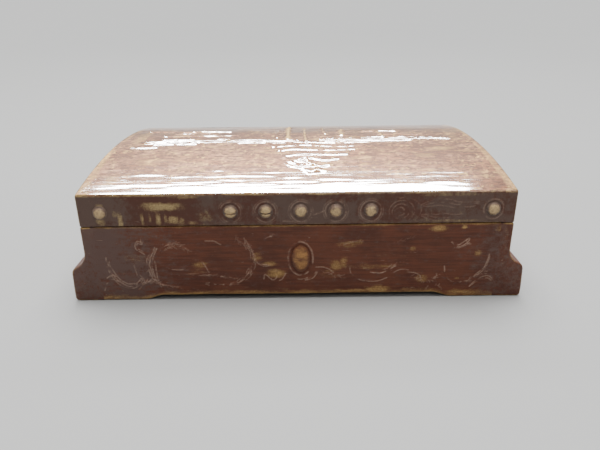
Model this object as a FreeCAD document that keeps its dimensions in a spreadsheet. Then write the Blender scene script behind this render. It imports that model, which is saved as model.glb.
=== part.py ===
"""A hinged wooden jewelry box: a panelled base on bracket feet and an arched lid.

The frame has its origin at the middle of the footprint, on the surface that the box stands on.
X runs along the length, Y from front to back and Z up.  Lengths are in millimetres.
"""

import FreeCAD, Part
import math
import os

import Sketcher
from FreeCAD import Vector

# Driving dimensions: alias, value and what it is.
SIZES = [
    ("wall_length", 252.8, "length of the base over its two end walls"),
    ("wall_depth", 165.0, "depth of the base over its front and back walls"),
    ("base_height", 48.5, "height of the base above the ground"),
    ("seam_gap", 0.5, "gap between the base and the closed lid"),
    ("lid_wall", 19.5, "height of the lid's straight wall"),
    ("crown_rise", 8.0, "rise of the lid's arch above its wall"),
    ("side_wall", 7.4, "thickness of the base's end boards above the feet"),
    ("front_wall", 8.0, "thickness of the front board and of the lid's front rail"),
    ("back_wall", 10.0, "thickness of the back board and of the lid's back rail"),
    ("flare", 9.4, "how far the feet stand out at each end"),
    ("ledge_top", 32.0, "height where the end boards start to flare"),
    ("ledge_height", 14.0, "height of the ogee between wall and foot"),
    ("cove_share", 0.68, "share of the ogee that is hollow, the rest is round"),
    ("foot_round", 2.2, "radius of the foot's lower outer edge"),
    ("apron_rise", 3.0, "clearance under the boards between the feet"),
    ("foot_reach", 94.0, "distance from the middle to the inner end of a front foot"),
    ("foot_run", 38.0, "length of a foot along the depth"),
    ("foot_curve", 12.5, "length of the curve from foot to apron"),
    ("bottom_height", 7.0, "height of the bottom board's underside"),
    ("bottom_board", 5.0, "thickness of the bottom board"),
    ("groove_depth", 2.5, "depth of the grooves that hold the bottom board"),
    ("tongue_reach", 2.0, "length of the corner tongues"),
    ("tongue_inset", 2.5, "distance from an outer face to a corner tongue"),
    ("tongue_width", 2.5, "thickness of a corner tongue"),
    ("panel_board", 6.0, "thickness of the arched lid panel"),
    ("rail_lip", 4.0, "width of the rail left outside the lid panel"),
    ("end_lip", 3.0, "width of the lid end left outside the lid panel"),
    ("lining", 1.0, "thickness of the velvet wall linings"),
    ("lining_drop", 1.0, "distance of a wall lining from the rim"),
    ("pad_height", 3.0, "thickness of the floor pads"),
    ("lid_pad", 2.2, "thickness of the pad under the lid panel"),
    ("soft_gap", 0.3, "clearance round a pad or roll"),
    ("divider_board", 4.0, "thickness of the dividers"),
    ("divider_top", 40.0, "height of the dividers' top edge"),
    ("ring_bay", 70.0, "width of the bay that holds the ring rolls"),
    ("ring_rolls", 5, "number of ring rolls"),
    ("pivot_inset", 2.4, "distance from the back face to the hinge axis"),
    ("bevel_slope", 1.19175, "slope of the back bevels that stop the lid"),
    ("hinge_length", 28.0, "length of a hinge"),
    ("hinge_offset", 78.0, "distance from the middle to each hinge"),
    ("barrel_radius", 2.2, "outer radius of the hinge barrel"),
    ("barrel_middle", 9.8, "length of the lid leaf's knuckle"),
    ("barrel_gap", 0.2, "gap between knuckles, and between the closed leaves"),
    ("pin_radius", 0.9, "radius of the hinge pin"),
    ("pin_clearance", 0.05, "radial clearance round the hinge pin"),
    ("leaf_board", 1.0, "thickness of a hinge leaf"),
    ("leaf_inner", 2.5, "distance from the axis to the near edge of a leaf"),
    ("leaf_outer", 6.5, "distance from the axis to the far edge of a leaf"),
    ("barrel_room", 0.3, "clearance of the wood round barrel and leaf"),
    ("screw_spread", 9.0, "distance of a hinge screw from the hinge's middle"),
    ("screw_shank", 0.75, "radius of a hinge screw's shank"),
    ("screw_head", 1.45, "radius of a hinge screw's head"),
    ("screw_sink", 0.65, "height of a hinge screw's head"),
    ("screw_length", 7.0, "length of a hinge screw"),
    ("fit_gap", 0.04, "radial clearance of screws and stud shanks"),
    ("stud_radius", 4.3, "radius of a stud's rim"),
    ("stud_rim", 0.5, "thickness of a stud's rim"),
    ("stud_dome", 3.4, "radius of a stud's dome where it meets the rim"),
    ("stud_rise", 2.2, "how far a stud stands out of the lid"),
    ("stud_shank", 0.8, "radius of a stud's shank"),
    ("stud_depth", 5.0, "length of a stud's shank"),
    ("stud_height", 57.5, "height of the studs' centres"),
    ("stud_pitch", 20.2, "spacing of the five middle studs"),
    ("stud_middle", 2.3, "place of the middle stud along the length"),
    ("stud_end", 113.2, "distance from the middle to the end studs"),
    ("medal_width", 11.0, "width of the oval boss"),
    ("medal_tall", 17.4, "height of the oval boss"),
    ("medal_rise", 1.9, "how far the oval boss stands out"),
    ("medal_seat", 1.2, "depth of the recess that holds the oval boss"),
    ("medal_middle", 2.0, "place of the oval boss along the length"),
    ("medal_height", 27.0, "height of the oval boss's centre"),
]

OVERSIZE = 5.0  # how far a cutting tool runs past the wood that it cuts

doc = FreeCAD.newDocument("jewelry_box")
sheet = doc.addObject("Spreadsheet::Sheet", "Sizes")
for row, (alias, size, meaning) in enumerate(SIZES, start=1):
    sheet.set(f"A{row}", meaning)
    sheet.set(f"B{row}", str(size))
    sheet.setAlias(f"B{row}", alias)
doc.recompute()

# Derived places, as expressions on the sheet.
S = {alias: f"Sizes.{alias}" for alias, _, _ in SIZES}
HALF = "(Sizes.wall_length / 2)"
INNER = "(Sizes.wall_length / 2 - Sizes.side_wall)"
FRONT = "((Sizes.stud_rise - Sizes.wall_depth) / 2)"
BACK = "((Sizes.stud_rise + Sizes.wall_depth) / 2)"
MIDDLE = "(Sizes.stud_rise / 2)"
FRONT_INNER = f"({FRONT} + Sizes.front_wall)"
BACK_INNER = f"({BACK} - Sizes.back_wall)"
FLOOR = "(Sizes.bottom_height + Sizes.bottom_board)"
LID_FOOT = "(Sizes.base_height + Sizes.seam_gap)"
ARRIS = "(Sizes.base_height + Sizes.seam_gap + Sizes.lid_wall)"
ARCH = "((Sizes.wall_depth ^ 2 / 4 + Sizes.crown_rise ^ 2) / (2 * Sizes.crown_rise))"
ARCH_CENTRE = f"({ARRIS} + Sizes.crown_rise - {ARCH})"
ARCH_INSIDE = f"({ARCH} - Sizes.panel_board)"
ARCH_PAD = f"({ARCH} - Sizes.panel_board - Sizes.lid_pad)"
PIVOT_Y = f"({BACK} - Sizes.pivot_inset)"
PIVOT_Z = "(Sizes.base_height + Sizes.seam_gap / 2)"
BEVEL = "(Sizes.pivot_inset * Sizes.bevel_slope - Sizes.seam_gap / 2)"
OGEE = "((Sizes.ledge_height ^ 2 + Sizes.flare ^ 2) / (2 * Sizes.flare))"
FOOT_ARC = "(((Sizes.foot_curve / 2) ^ 2 + (Sizes.apron_rise / 2) ^ 2) / Sizes.apron_rise)"
ROOM = "(Sizes.barrel_radius + Sizes.barrel_room)"


def number(expression):
    """Value of an expression on the sheet."""
    return float(sheet.evalExpression(str(expression)))


def arch(radius, y):
    """Expression for the height of an arc about the arch's centre, at a place across the depth."""
    return f"({ARCH_CENTRE} + sqrt({radius} ^ 2 - ({y} - {MIDDLE}) ^ 2))"


# ---------------------------------------------------------------- helpers


def bind(thing, **properties):
    """Bind properties to expressions, such as Length="Sizes.flare"."""
    for name, expression in properties.items():
        thing.setExpression(name, str(expression))
    return thing


def place(thing, x="0", y="0", z="0"):
    """Bind the place of an object to expressions."""
    for axis, expression in zip("xyz", (x, y, z)):
        thing.setExpression(f"Placement.Base.{axis}", str(expression))
    return thing


def part(kind, label, **properties):
    """Add a Part primitive and bind its sizes."""
    thing = doc.addObject(f"Part::{kind}", label)
    thing.Label = label
    return bind(thing, **properties)


def block(label, x, y, z):
    """Box between two expressions along each axis."""
    spans = [f"({high}) - ({low})" for low, high in (x, y, z)]
    thing = part("Box", label, Length=spans[0], Width=spans[1], Height=spans[2])
    return place(thing, x[0], y[0], z[0])


def rod(label, radius, start, length, axis):
    """Cylinder that starts at a point and runs along +X, +Y or +Z."""
    thing = part("Cylinder", label, Radius=radius, Height=length)
    turns = {
        "X": FreeCAD.Rotation(Vector(0, 1, 0), 90),
        "Y": FreeCAD.Rotation(Vector(1, 0, 0), -90),
        "Z": FreeCAD.Rotation(),
    }
    thing.Placement = FreeCAD.Placement(Vector(), turns[axis])
    return place(thing, *start)


def fuse(label, shapes):
    """Union of several shapes."""
    thing = doc.addObject("Part::MultiFuse", label)
    thing.Label = label
    thing.Shapes = shapes
    return thing


def cut(label, base, tools):
    """A shape less its tools."""
    tool = tools[0] if len(tools) == 1 else fuse(label + "_tools", tools)
    thing = doc.addObject("Part::Cut", label)
    thing.Label = label
    thing.Base = base
    thing.Tool = tool
    return thing


def group(label, shapes):
    """Several separate solids in one sub-part."""
    thing = doc.addObject("Part::Compound", label)
    thing.Label = label
    thing.Links = shapes
    return thing


def body(label):
    """Empty PartDesign body."""
    thing = doc.addObject("PartDesign::Body", label)
    thing.Label = label
    return thing


def arc_through(start, end, radius, left):
    """Circle arc between two points that bulges to the left or right of the way from one to the other.

    Returns the arc and whether its own direction, which is anticlockwise, runs from end to start.
    """
    middle = (start + end) * 0.5
    half = (end - start).Length / 2
    along = (end - start).normalize()
    across = Vector(-along.y, along.x, 0)
    side = -1.0 if left else 1.0
    centre = middle + across * (side * math.sqrt(radius ** 2 - half ** 2))
    first, last = (end, start) if left else (start, end)
    angles = [math.atan2(p.y - centre.y, p.x - centre.x) for p in (first, last)]
    circle = Part.Circle(centre, Vector(0, 0, 1), radius)
    return Part.ArcOfCircle(circle, angles[0], angles[1]), left


def outline(owner, name, plane, offset, points, arcs=None):
    """Closed sketch on one of a body's own planes, with every corner bound to the sheet.

    plane is XZ_Plane or YZ_Plane and offset its place along Y or X.  points are pairs of
    expressions.  arcs maps the number of an edge to its radius and to the side that it bulges
    to, "left" or "right" of the way round.
    """
    sketch = owner.newObject("Sketcher::SketchObject", name)
    base = next(f for f in owner.Origin.OriginFeatures if f.Role == plane)
    sketch.AttachmentSupport = [(base, "")]
    sketch.MapMode = "FlatFace"
    sign = "-" if plane == "XZ_Plane" else ""
    sketch.setExpression("AttachmentOffset.Base.z", f"{sign}({offset})")
    corners = [Vector(number(x), number(y), 0) for x, y in points]
    arcs = arcs or {}
    ends = []  # for each edge, the point numbers of its start and end on the way round
    for index, start in enumerate(corners):
        end = corners[(index + 1) % len(corners)]
        if index in arcs:
            radius, side = arcs[index]
            shape, backwards = arc_through(start, end, number(radius), side == "left")
            ends.append((2, 1) if backwards else (1, 2))
        else:
            shape = Part.LineSegment(start, end)
            ends.append((1, 2))
        sketch.addGeometry(shape, False)
    for index, (x, y) in enumerate(points):
        before = (index - 1) % len(points)
        sketch.addConstraint(
            Sketcher.Constraint("Coincident", before, ends[before][1], index, ends[index][0])
        )
        for kind, expression, size in (
            ("DistanceX", x, corners[index].x),
            ("DistanceY", y, corners[index].y),
        ):
            number_of = sketch.addConstraint(
                Sketcher.Constraint(kind, -1, 1, index, ends[index][0], size)
            )
            sketch.setExpression(f"Constraints[{number_of}]", str(expression))
    for index, (radius, _) in arcs.items():
        number_of = sketch.addConstraint(Sketcher.Constraint("Radius", index, number(radius)))
        sketch.setExpression(f"Constraints[{number_of}]", str(radius))
    return sketch


def pad(owner, sketch, length, forward=True):
    """Pad a sketch along +X or +Y, or against it."""
    feature = owner.newObject("PartDesign::Pad", sketch.Name + "_pad")
    feature.Profile = sketch
    bind(feature, Length=length)
    faces_back = sketch.AttachmentSupport[0][0].Role == "XZ_Plane"
    feature.Reversed = forward if faces_back else not forward
    doc.recompute()
    return feature


def pocket(owner, sketch, depth, forward=True):
    """Pocket a sketch along +X or +Y, or against it, and make sure that it cuts."""
    volume = owner.Shape.Volume
    feature = owner.newObject("PartDesign::Pocket", sketch.Name + "_pocket")
    feature.Profile = sketch
    bind(feature, Length=depth)
    faces_back = sketch.AttachmentSupport[0][0].Role == "XZ_Plane"
    feature.Reversed = not forward if faces_back else forward
    doc.recompute()
    if not owner.Shape.Volume < volume - 0.1:
        raise RuntimeError(f"{feature.Name} cuts nothing")
    return feature


# ---------------------------------------------------------------- base


def apron_points(low_end, low_foot, high_foot, high_end):
    """Underside from one foot to the other: flat, ogee up, apron, ogee down, flat."""
    half_curve = "Sizes.foot_curve / 2"
    return [
        (low_end, "0"),
        (low_foot, "0"),
        (f"{low_foot} + {half_curve}", "Sizes.apron_rise / 2"),
        (f"{low_foot} + Sizes.foot_curve", "Sizes.apron_rise"),
        (f"{high_foot} - Sizes.foot_curve", "Sizes.apron_rise"),
        (f"{high_foot} - {half_curve}", "Sizes.apron_rise / 2"),
        (high_foot, "0"),
        (high_end, "0"),
    ]


APRON_ARCS = {
    1: (FOOT_ARC, "right"),
    2: (FOOT_ARC, "left"),
    4: (FOOT_ARC, "left"),
    5: (FOOT_ARC, "right"),
}


def upright(label, face, thickness, inward):
    """Front or back board of the base: feet below, a tongue at each end, a groove for the bottom.

    face is the place of its outer face, and inward is 1 where the inside lies along +Y.
    """
    board = body(label)
    points = apron_points(f"-{INNER}", f"-{S['foot_reach']}", S["foot_reach"], INNER)
    points += [(INNER, S["base_height"]), (f"-{INNER}", S["base_height"])]
    pad(board, outline(board, label + "_face", "XZ_Plane", face, points, APRON_ARCS), thickness, inward > 0)
    near = f"({face} + ({inward}) * Sizes.tongue_inset)"
    reach = f"({INNER} + Sizes.tongue_reach)"
    for end in (-1, 1):
        corners = [(f"{end} * {INNER}", "0"), (f"{end} * {reach}", "0")]
        corners += [(x, S["base_height"]) for x, _ in reversed(corners)]
        name = f"{label}_tongue_{'left' if end < 0 else 'right'}"
        pad(board, outline(board, name, "XZ_Plane", near, corners), S["tongue_width"], inward > 0)
    inside = f"({face} + ({inward}) * {thickness})"
    groove = [
        (f"-{reach} - {OVERSIZE}", S["bottom_height"]),
        (f"{reach} + {OVERSIZE}", S["bottom_height"]),
        (f"{reach} + {OVERSIZE}", FLOOR),
        (f"-{reach} - {OVERSIZE}", FLOOR),
    ]
    sketch = outline(board, label + "_groove", "XZ_Plane", inside, groove)
    pocket(board, sketch, S["groove_depth"], inward < 0)
    return board


def end_board(label, side):
    """End board of the base: an ogee over the feet, grooves for the corners and the bottom."""
    board = body(label)
    wall, foot = HALF, f"({HALF} + Sizes.flare)"
    turn = f"({wall} + Sizes.cove_share * Sizes.flare)"
    ledge_foot = "(Sizes.ledge_top - Sizes.ledge_height)"
    section = [
        (INNER, "0"),
        (f"{foot} - Sizes.foot_round", "0"),
        (foot, "Sizes.foot_round"),
        (foot, ledge_foot),
        (turn, "Sizes.ledge_top - Sizes.cove_share * Sizes.ledge_height"),
        (wall, "Sizes.ledge_top"),
        (wall, "Sizes.base_height"),
        (INNER, "Sizes.base_height"),
    ]
    points = [(f"{side} * ({x})", z) for x, z in section]
    outward, hollow = ("right", "left") if side > 0 else ("left", "right")
    arcs = {
        1: ("Sizes.foot_round", outward),
        3: (f"(1 - Sizes.cove_share) * {OGEE}", outward),
        4: (f"Sizes.cove_share * {OGEE}", hollow),
    }
    pad(board, outline(board, label + "_section", "XZ_Plane", FRONT, points, arcs), S["wall_depth"])

    outside = f"{side} * ({foot} + {OVERSIZE})"
    through = f"Sizes.side_wall + Sizes.flare + 2 * {OVERSIZE}"
    low_foot, high_foot = f"({FRONT} + Sizes.foot_run)", f"({BACK} - Sizes.foot_run)"
    apron = apron_points(low_foot, low_foot, high_foot, high_foot)[1:-1]
    apron += [(high_foot, f"-{OVERSIZE}"), (low_foot, f"-{OVERSIZE}")]
    arcs = {number_of - 1: arc for number_of, arc in APRON_ARCS.items()}
    sketch = outline(board, label + "_apron", "YZ_Plane", outside, apron, arcs)
    pocket(board, sketch, through, side < 0)

    rim = "Sizes.base_height"
    bevel = [
        (PIVOT_Y, rim),
        (BACK, f"{rim} - {BEVEL}"),
        (f"{BACK} + {OVERSIZE}", f"{rim} - {BEVEL}"),
        (f"{BACK} + {OVERSIZE}", f"{rim} + {OVERSIZE}"),
        (PIVOT_Y, f"{rim} + {OVERSIZE}"),
    ]
    pocket(board, outline(board, label + "_bevel", "YZ_Plane", outside, bevel), through, side < 0)

    inside = f"{side} * {INNER}"
    seat = [
        (f"{FRONT_INNER} - Sizes.groove_depth", S["bottom_height"]),
        (f"{BACK_INNER} + Sizes.groove_depth", S["bottom_height"]),
        (f"{BACK_INNER} + Sizes.groove_depth", FLOOR),
        (f"{FRONT_INNER} - Sizes.groove_depth", FLOOR),
    ]
    pocket(board, outline(board, label + "_seat", "YZ_Plane", inside, seat), S["groove_depth"], side > 0)
    for name, near in (
        ("front", f"({FRONT} + Sizes.tongue_inset)"),
        ("back", f"({BACK} - Sizes.tongue_inset - Sizes.tongue_width)"),
    ):
        far = f"({near} + Sizes.tongue_width)"
        slot = [
            (near, f"-{OVERSIZE}"),
            (far, f"-{OVERSIZE}"),
            (far, f"{rim} + {OVERSIZE}"),
            (near, f"{rim} + {OVERSIZE}"),
        ]
        sketch = outline(board, f"{label}_{name}_slot", "YZ_Plane", inside, slot)
        pocket(board, sketch, S["tongue_reach"], side > 0)
    return board


def oval(label, width, tall, start, depth):
    """Oval plate in the face of the front board, from a place along Y and so deep."""
    edge = part("Ellipse", label + "_edge", MajorRadius=f"({tall}) / 2", MinorRadius=f"({width}) / 2")
    edge.Placement.Rotation = FreeCAD.Rotation(Vector(0, 0, 1), Vector(-1, 0, 0), Vector(0, -1, 0), "ZXY")
    place(edge, S["medal_middle"], start, S["medal_height"])
    plate = part("Extrusion", label, LengthFwd=depth)
    plate.Base = edge
    plate.DirMode = "Custom"
    plate.Dir = Vector(0, 1, 0)
    plate.Solid = True
    return plate


def medallion():
    """Oval boss: a domed face on a plate that sits in a recess."""
    plate = oval("medallion_plate", S["medal_width"], S["medal_tall"], FRONT, S["medal_seat"])
    dome = part(
        "Ellipsoid",
        "medallion_dome",
        Radius1="Sizes.medal_tall / 2",
        Radius2="Sizes.medal_width / 2",
        Radius3=S["medal_rise"],
    )
    place(dome, S["medal_middle"], FRONT, S["medal_height"])
    keep = block(
        "medallion_front",
        (f"{S['medal_middle']} - Sizes.medal_width", f"{S['medal_middle']} + Sizes.medal_width"),
        (f"{FRONT} - {OVERSIZE}", f"{FRONT} + Sizes.medal_seat / 2"),
        (f"{S['medal_height']} - Sizes.medal_tall", f"{S['medal_height']} + Sizes.medal_tall"),
    )
    front = doc.addObject("Part::Common", "medallion_face")
    front.Base = dome
    front.Tool = keep
    return fuse("front_medallion", [plate, front])


def base_boards():
    """The wooden parts of the base."""
    recess = oval(
        "medallion_recess",
        "Sizes.medal_width + 2 * Sizes.fit_gap",
        "Sizes.medal_tall + 2 * Sizes.fit_gap",
        f"{FRONT} - {OVERSIZE}",
        f"Sizes.medal_seat + {OVERSIZE}",
    )
    front = cut("front_board", upright("front_board_blank", FRONT, S["front_wall"], 1), [recess])
    blank = upright("back_board_blank", BACK, S["back_wall"], -1)
    back = cut("back_board", blank, back_tools("base", -1))
    bottom = block(
        "bottom_board",
        (f"-{INNER} - Sizes.groove_depth", f"{INNER} + Sizes.groove_depth"),
        (f"{FRONT_INNER} - Sizes.groove_depth", f"{BACK_INNER} + Sizes.groove_depth"),
        (S["bottom_height"], FLOOR),
    )
    ends = [end_board("left_end_board", -1), end_board("right_end_board", 1)]
    return [front, back, bottom, *ends, medallion()]


# ---------------------------------------------------------------- hinges


def hinge_places():
    """Name and place along X of each hinge."""
    return [("left", "-Sizes.hinge_offset"), ("right", "Sizes.hinge_offset")]


def screw_places(middle):
    """Places along X of a leaf's two screws."""
    return [f"({middle} - Sizes.screw_spread)", f"({middle} + Sizes.screw_spread)"]


SCREW_Y = f"({PIVOT_Y} - (Sizes.leaf_inner + Sizes.leaf_outer) / 2)"


def back_tools(name, side):
    """Cutters for a back board (side -1) or the lid's back rail (side 1).

    They are the stop bevel, the room for each barrel, the seat of each leaf and its pilot holes.
    """
    rim = S["base_height"] if side < 0 else LID_FOOT
    wedge = body(f"{name}_bevel_tool")
    far = f"{INNER} + Sizes.tongue_reach + {OVERSIZE}"
    points = [
        (PIVOT_Y, rim),
        (BACK, f"{rim} + ({side}) * {BEVEL}"),
        (f"{BACK} + {OVERSIZE}", f"{rim} + ({side}) * {BEVEL}"),
        (f"{BACK} + {OVERSIZE}", f"{rim} - ({side}) * {OVERSIZE}"),
        (PIVOT_Y, f"{rim} - ({side}) * {OVERSIZE}"),
    ]
    pad(wedge, outline(wedge, f"{name}_bevel_line", "YZ_Plane", f"-({far})", points), f"2 * ({far})")
    tools = [wedge]
    for hinge, middle in hinge_places():
        start = f"({middle} - Sizes.hinge_length / 2 - Sizes.barrel_room)"
        end = f"({middle} + Sizes.hinge_length / 2 + Sizes.barrel_room)"
        length = f"{end} - {start}"
        tools.append(rod(f"{name}_{hinge}_room", ROOM, (start, PIVOT_Y, PIVOT_Z), length, "X"))
        face = f"({PIVOT_Z} + ({side}) * (Sizes.barrel_gap / 2 + Sizes.leaf_board))"
        past = f"({rim} - ({side}) * {OVERSIZE})"
        low, high = (face, past) if side < 0 else (past, face)
        tools.append(
            block(
                f"{name}_{hinge}_seat",
                (start, end),
                (f"{PIVOT_Y} - Sizes.leaf_outer - Sizes.fit_gap", f"{PIVOT_Y} - Sizes.barrel_radius"),
                (low, high),
            )
        )
        for number_of, x in enumerate(screw_places(middle)):
            depth = "Sizes.screw_length + Sizes.fit_gap"
            foot = f"{PIVOT_Z} - ({depth})" if side < 0 else PIVOT_Z
            radius = "Sizes.screw_shank + Sizes.fit_gap"
            label = f"{name}_{hinge}_pilot_{number_of}"
            tools.append(rod(label, radius, (x, SCREW_Y, foot), depth, "Z"))
    return tools


def cone(label, low, high, start, height):
    """Upright cone with its lower and upper radius, from a point."""
    thing = part("Cone", label, Radius1=low, Radius2=high, Height=height)
    return place(thing, *start)


def sink(label, x, side, room):
    """Head of a hinge screw, or the countersink for it with some room round it."""
    top = f"({PIVOT_Z} + ({side}) * Sizes.barrel_gap / 2)"
    wide, narrow = f"Sizes.screw_head + {room}", f"Sizes.screw_shank + {room}"
    if side < 0:
        return cone(label, narrow, wide, (x, SCREW_Y, f"{top} - Sizes.screw_sink"), S["screw_sink"])
    return cone(label, wide, narrow, (x, SCREW_Y, top), S["screw_sink"])


def leaf(label, middle, side, knuckles):
    """Hinge leaf: a plate, its knuckles and the countersunk holes."""
    near = f"({PIVOT_Z} + ({side}) * Sizes.barrel_gap / 2)"
    far = f"({PIVOT_Z} + ({side}) * (Sizes.barrel_gap / 2 + Sizes.leaf_board))"
    height = (far, near) if side < 0 else (near, far)
    ends = (f"{middle} - Sizes.hinge_length / 2", f"{middle} + Sizes.hinge_length / 2")
    plate = (f"{PIVOT_Y} - Sizes.leaf_outer", f"{PIVOT_Y} - Sizes.leaf_inner")
    solids = [block(f"{label}_plate", ends, plate, height)]
    for number_of, (start, end) in enumerate(knuckles):
        low, high = f"({middle} + {start})", f"({middle} + {end})"
        tab = (f"{PIVOT_Y} - Sizes.leaf_inner", PIVOT_Y)
        solids.append(block(f"{label}_tab_{number_of}", (low, high), tab, height))
        barrel = rod(
            f"{label}_barrel_{number_of}", S["barrel_radius"], (low, PIVOT_Y, PIVOT_Z), f"{high} - {low}", "X"
        )
        solids.append(barrel)
    start = (f"{ends[0]} - 1", PIVOT_Y, PIVOT_Z)
    bore = rod(f"{label}_bore", "Sizes.pin_radius + Sizes.pin_clearance", start, "Sizes.hinge_length + 2", "X")
    tools = [bore]
    for number_of, x in enumerate(screw_places(middle)):
        tools.append(sink(f"{label}_sink_{number_of}", x, side, "Sizes.fit_gap"))
        radius = "Sizes.screw_shank + Sizes.fit_gap"
        length = "2 * Sizes.leaf_board + 2 * Sizes.barrel_gap"
        start = (x, SCREW_Y, f"{PIVOT_Z} - ({length}) / 2")
        tools.append(rod(f"{label}_hole_{number_of}", radius, start, length, "Z"))
    return cut(label, fuse(f"{label}_blank", solids), tools)


def screws(label, middle, side):
    """The two slotted screws of one leaf."""
    made = []
    top = f"({PIVOT_Z} + ({side}) * Sizes.barrel_gap / 2)"
    for number_of, x in enumerate(screw_places(middle)):
        name = f"{label}_{number_of}"
        foot = f"({PIVOT_Z} - Sizes.screw_length)" if side < 0 else top
        span = "Sizes.screw_length - Sizes.barrel_gap / 2"
        shank = rod(f"{name}_shank", S["screw_shank"], (x, SCREW_Y, foot), span, "Z")
        head = sink(f"{name}_head", x, side, "0")
        slot = block(
            f"{name}_slot",
            (f"{x} - 2", f"{x} + 2"),
            (f"{SCREW_Y} - 0.2", f"{SCREW_Y} + 0.2"),
            (f"{top} - 0.3", f"{top} + 0.3"),
        )
        made.append(cut(name, fuse(f"{name}_blank", [shank, head]), [slot]))
    return group(label, made)


def hinges():
    """Two butt hinges: leaves, pins and screws."""
    made = []
    half, middle_half = "Sizes.hinge_length / 2", "Sizes.barrel_middle / 2"
    outer = [
        (f"(-{half})", f"(-{middle_half} - Sizes.barrel_gap)"),
        (f"({middle_half} + Sizes.barrel_gap)", f"({half})"),
    ]
    inner = [(f"(-{middle_half})", f"({middle_half})")]
    for hinge, middle in hinge_places():
        made.append(leaf(f"{hinge}_hinge_base_leaf", middle, -1, outer))
        made.append(leaf(f"{hinge}_hinge_lid_leaf", middle, 1, inner))
        start = (f"{middle} - {half}", PIVOT_Y, PIVOT_Z)
        made.append(rod(f"{hinge}_hinge_pin", S["pin_radius"], start, S["hinge_length"], "X"))
        made.append(screws(f"{hinge}_hinge_base_screws", middle, -1))
        made.append(screws(f"{hinge}_hinge_lid_screws", middle, 1))
    return made


# ---------------------------------------------------------------- lid


def lid_rail(label, face, thickness, inward):
    """Lid rail: arched on top, with a rabbet for the panel and a tongue at each end."""
    rail = body(label)
    inside = f"({face} + ({inward}) * {thickness})"
    lip = f"({face} + ({inward}) * Sizes.rail_lip)"
    section = [
        (face, LID_FOOT),
        (inside, LID_FOOT),
        (inside, arch(ARCH_INSIDE, inside)),
        (lip, arch(ARCH_INSIDE, lip)),
        (lip, arch(ARCH, lip)),
        (face, ARRIS),
    ]
    bulge = "right" if inward > 0 else "left"
    arcs = {2: (ARCH_INSIDE, bulge), 4: (ARCH, bulge)}
    sketch = outline(rail, label + "_section", "YZ_Plane", f"-{INNER}", section, arcs)
    pad(rail, sketch, f"2 * {INNER}")
    near = f"({face} + ({inward}) * Sizes.tongue_inset)"
    far = f"({near} + ({inward}) * Sizes.tongue_width)"
    top = f"({ARRIS} - Sizes.panel_board - {S['lining']})"
    for end in (-1, 1):
        name = f"{label}_tongue_{'left' if end < 0 else 'right'}"
        tongue = [(near, LID_FOOT), (far, LID_FOOT), (far, top), (near, top)]
        sketch = outline(rail, name, "YZ_Plane", f"{end} * {INNER}", tongue)
        pad(rail, sketch, S["tongue_reach"], end > 0)
    return rail


def lid_end(label, side):
    """Arched end board of the lid, with a rabbet for the panel and slots for the rails."""
    board = body(label)
    bevelled = [
        (FRONT, LID_FOOT),
        (PIVOT_Y, LID_FOOT),
        (BACK, f"{LID_FOOT} + {BEVEL}"),
        (BACK, ARRIS),
        (FRONT, ARRIS),
    ]
    inside = f"{side} * {INNER}"
    sketch = outline(board, label + "_face", "YZ_Plane", inside, bevelled, {3: (ARCH, "right")})
    pad(board, sketch, S["side_wall"], side > 0)
    low, high = f"({FRONT} + Sizes.rail_lip)", f"({BACK} - Sizes.rail_lip)"
    above = f"({ARRIS} + Sizes.crown_rise + {OVERSIZE})"
    rabbet = [(low, arch(ARCH_INSIDE, low)), (high, arch(ARCH_INSIDE, high)), (high, above), (low, above)]
    sketch = outline(board, label + "_rabbet", "YZ_Plane", inside, rabbet, {0: (ARCH_INSIDE, "left")})
    pocket(board, sketch, f"Sizes.side_wall - Sizes.end_lip", side > 0)
    top = f"({ARRIS} - Sizes.panel_board - {S['lining']})"
    for name, near in (
        ("front", f"({FRONT} + Sizes.tongue_inset)"),
        ("back", f"({BACK} - Sizes.tongue_inset - Sizes.tongue_width)"),
    ):
        far = f"({near} + Sizes.tongue_width)"
        foot = f"{LID_FOOT} - {OVERSIZE}"
        slot = [(near, foot), (far, foot), (far, top), (near, top)]
        sketch = outline(board, f"{label}_{name}_slot", "YZ_Plane", inside, slot)
        pocket(board, sketch, S["tongue_reach"], side > 0)
    return board


def arched_sheet(label, reach, low, high, outer, inner):
    """Sheet bent about the arch's centre, between two places across the depth."""
    sheet_body = body(label)
    points = [
        (low, arch(inner, low)),
        (high, arch(inner, high)),
        (high, arch(outer, high)),
        (low, arch(outer, low)),
    ]
    arcs = {0: (inner, "left"), 2: (outer, "right")}
    sketch = outline(sheet_body, label + "_section", "YZ_Plane", f"-({reach})", points, arcs)
    pad(sheet_body, sketch, f"2 * ({reach})")
    return sheet_body


def stud_places():
    """Places of the studs along X, from left to right."""
    row = [f"({S['stud_middle']} + ({step}) * Sizes.stud_pitch)" for step in range(-2, 3)]
    return ["(-Sizes.stud_end)", *row, "(Sizes.stud_end)"]


def stud(label, x):
    """Round-headed stud: a dome on a thin rim, and a shank."""
    stem = body(label)
    dome_rise = "(Sizes.stud_rise - Sizes.stud_rim)"
    dome_arc = f"((Sizes.stud_dome ^ 2 + {dome_rise} ^ 2) / (2 * {dome_rise}))"
    half = [
        ("0", f"-{S['stud_depth']}"),
        (S["stud_shank"], f"-{S['stud_depth']}"),
        (S["stud_shank"], "0"),
        (S["stud_radius"], "0"),
        (S["stud_dome"], S["stud_rim"]),
        ("0", S["stud_rise"]),
    ]
    sketch = outline(stem, label + "_half", "XZ_Plane", "0", half, {4: (dome_arc, "right")})
    turned = stem.newObject("PartDesign::Revolution", label + "_turned")
    turned.Profile = sketch
    turned.ReferenceAxis = (sketch, ["V_Axis"])
    turned.Angle = 360.0
    stem.Placement.Rotation = FreeCAD.Rotation(Vector(1, 0, 0), 90)
    return place(stem, x, FRONT, S["stud_height"])


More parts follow.
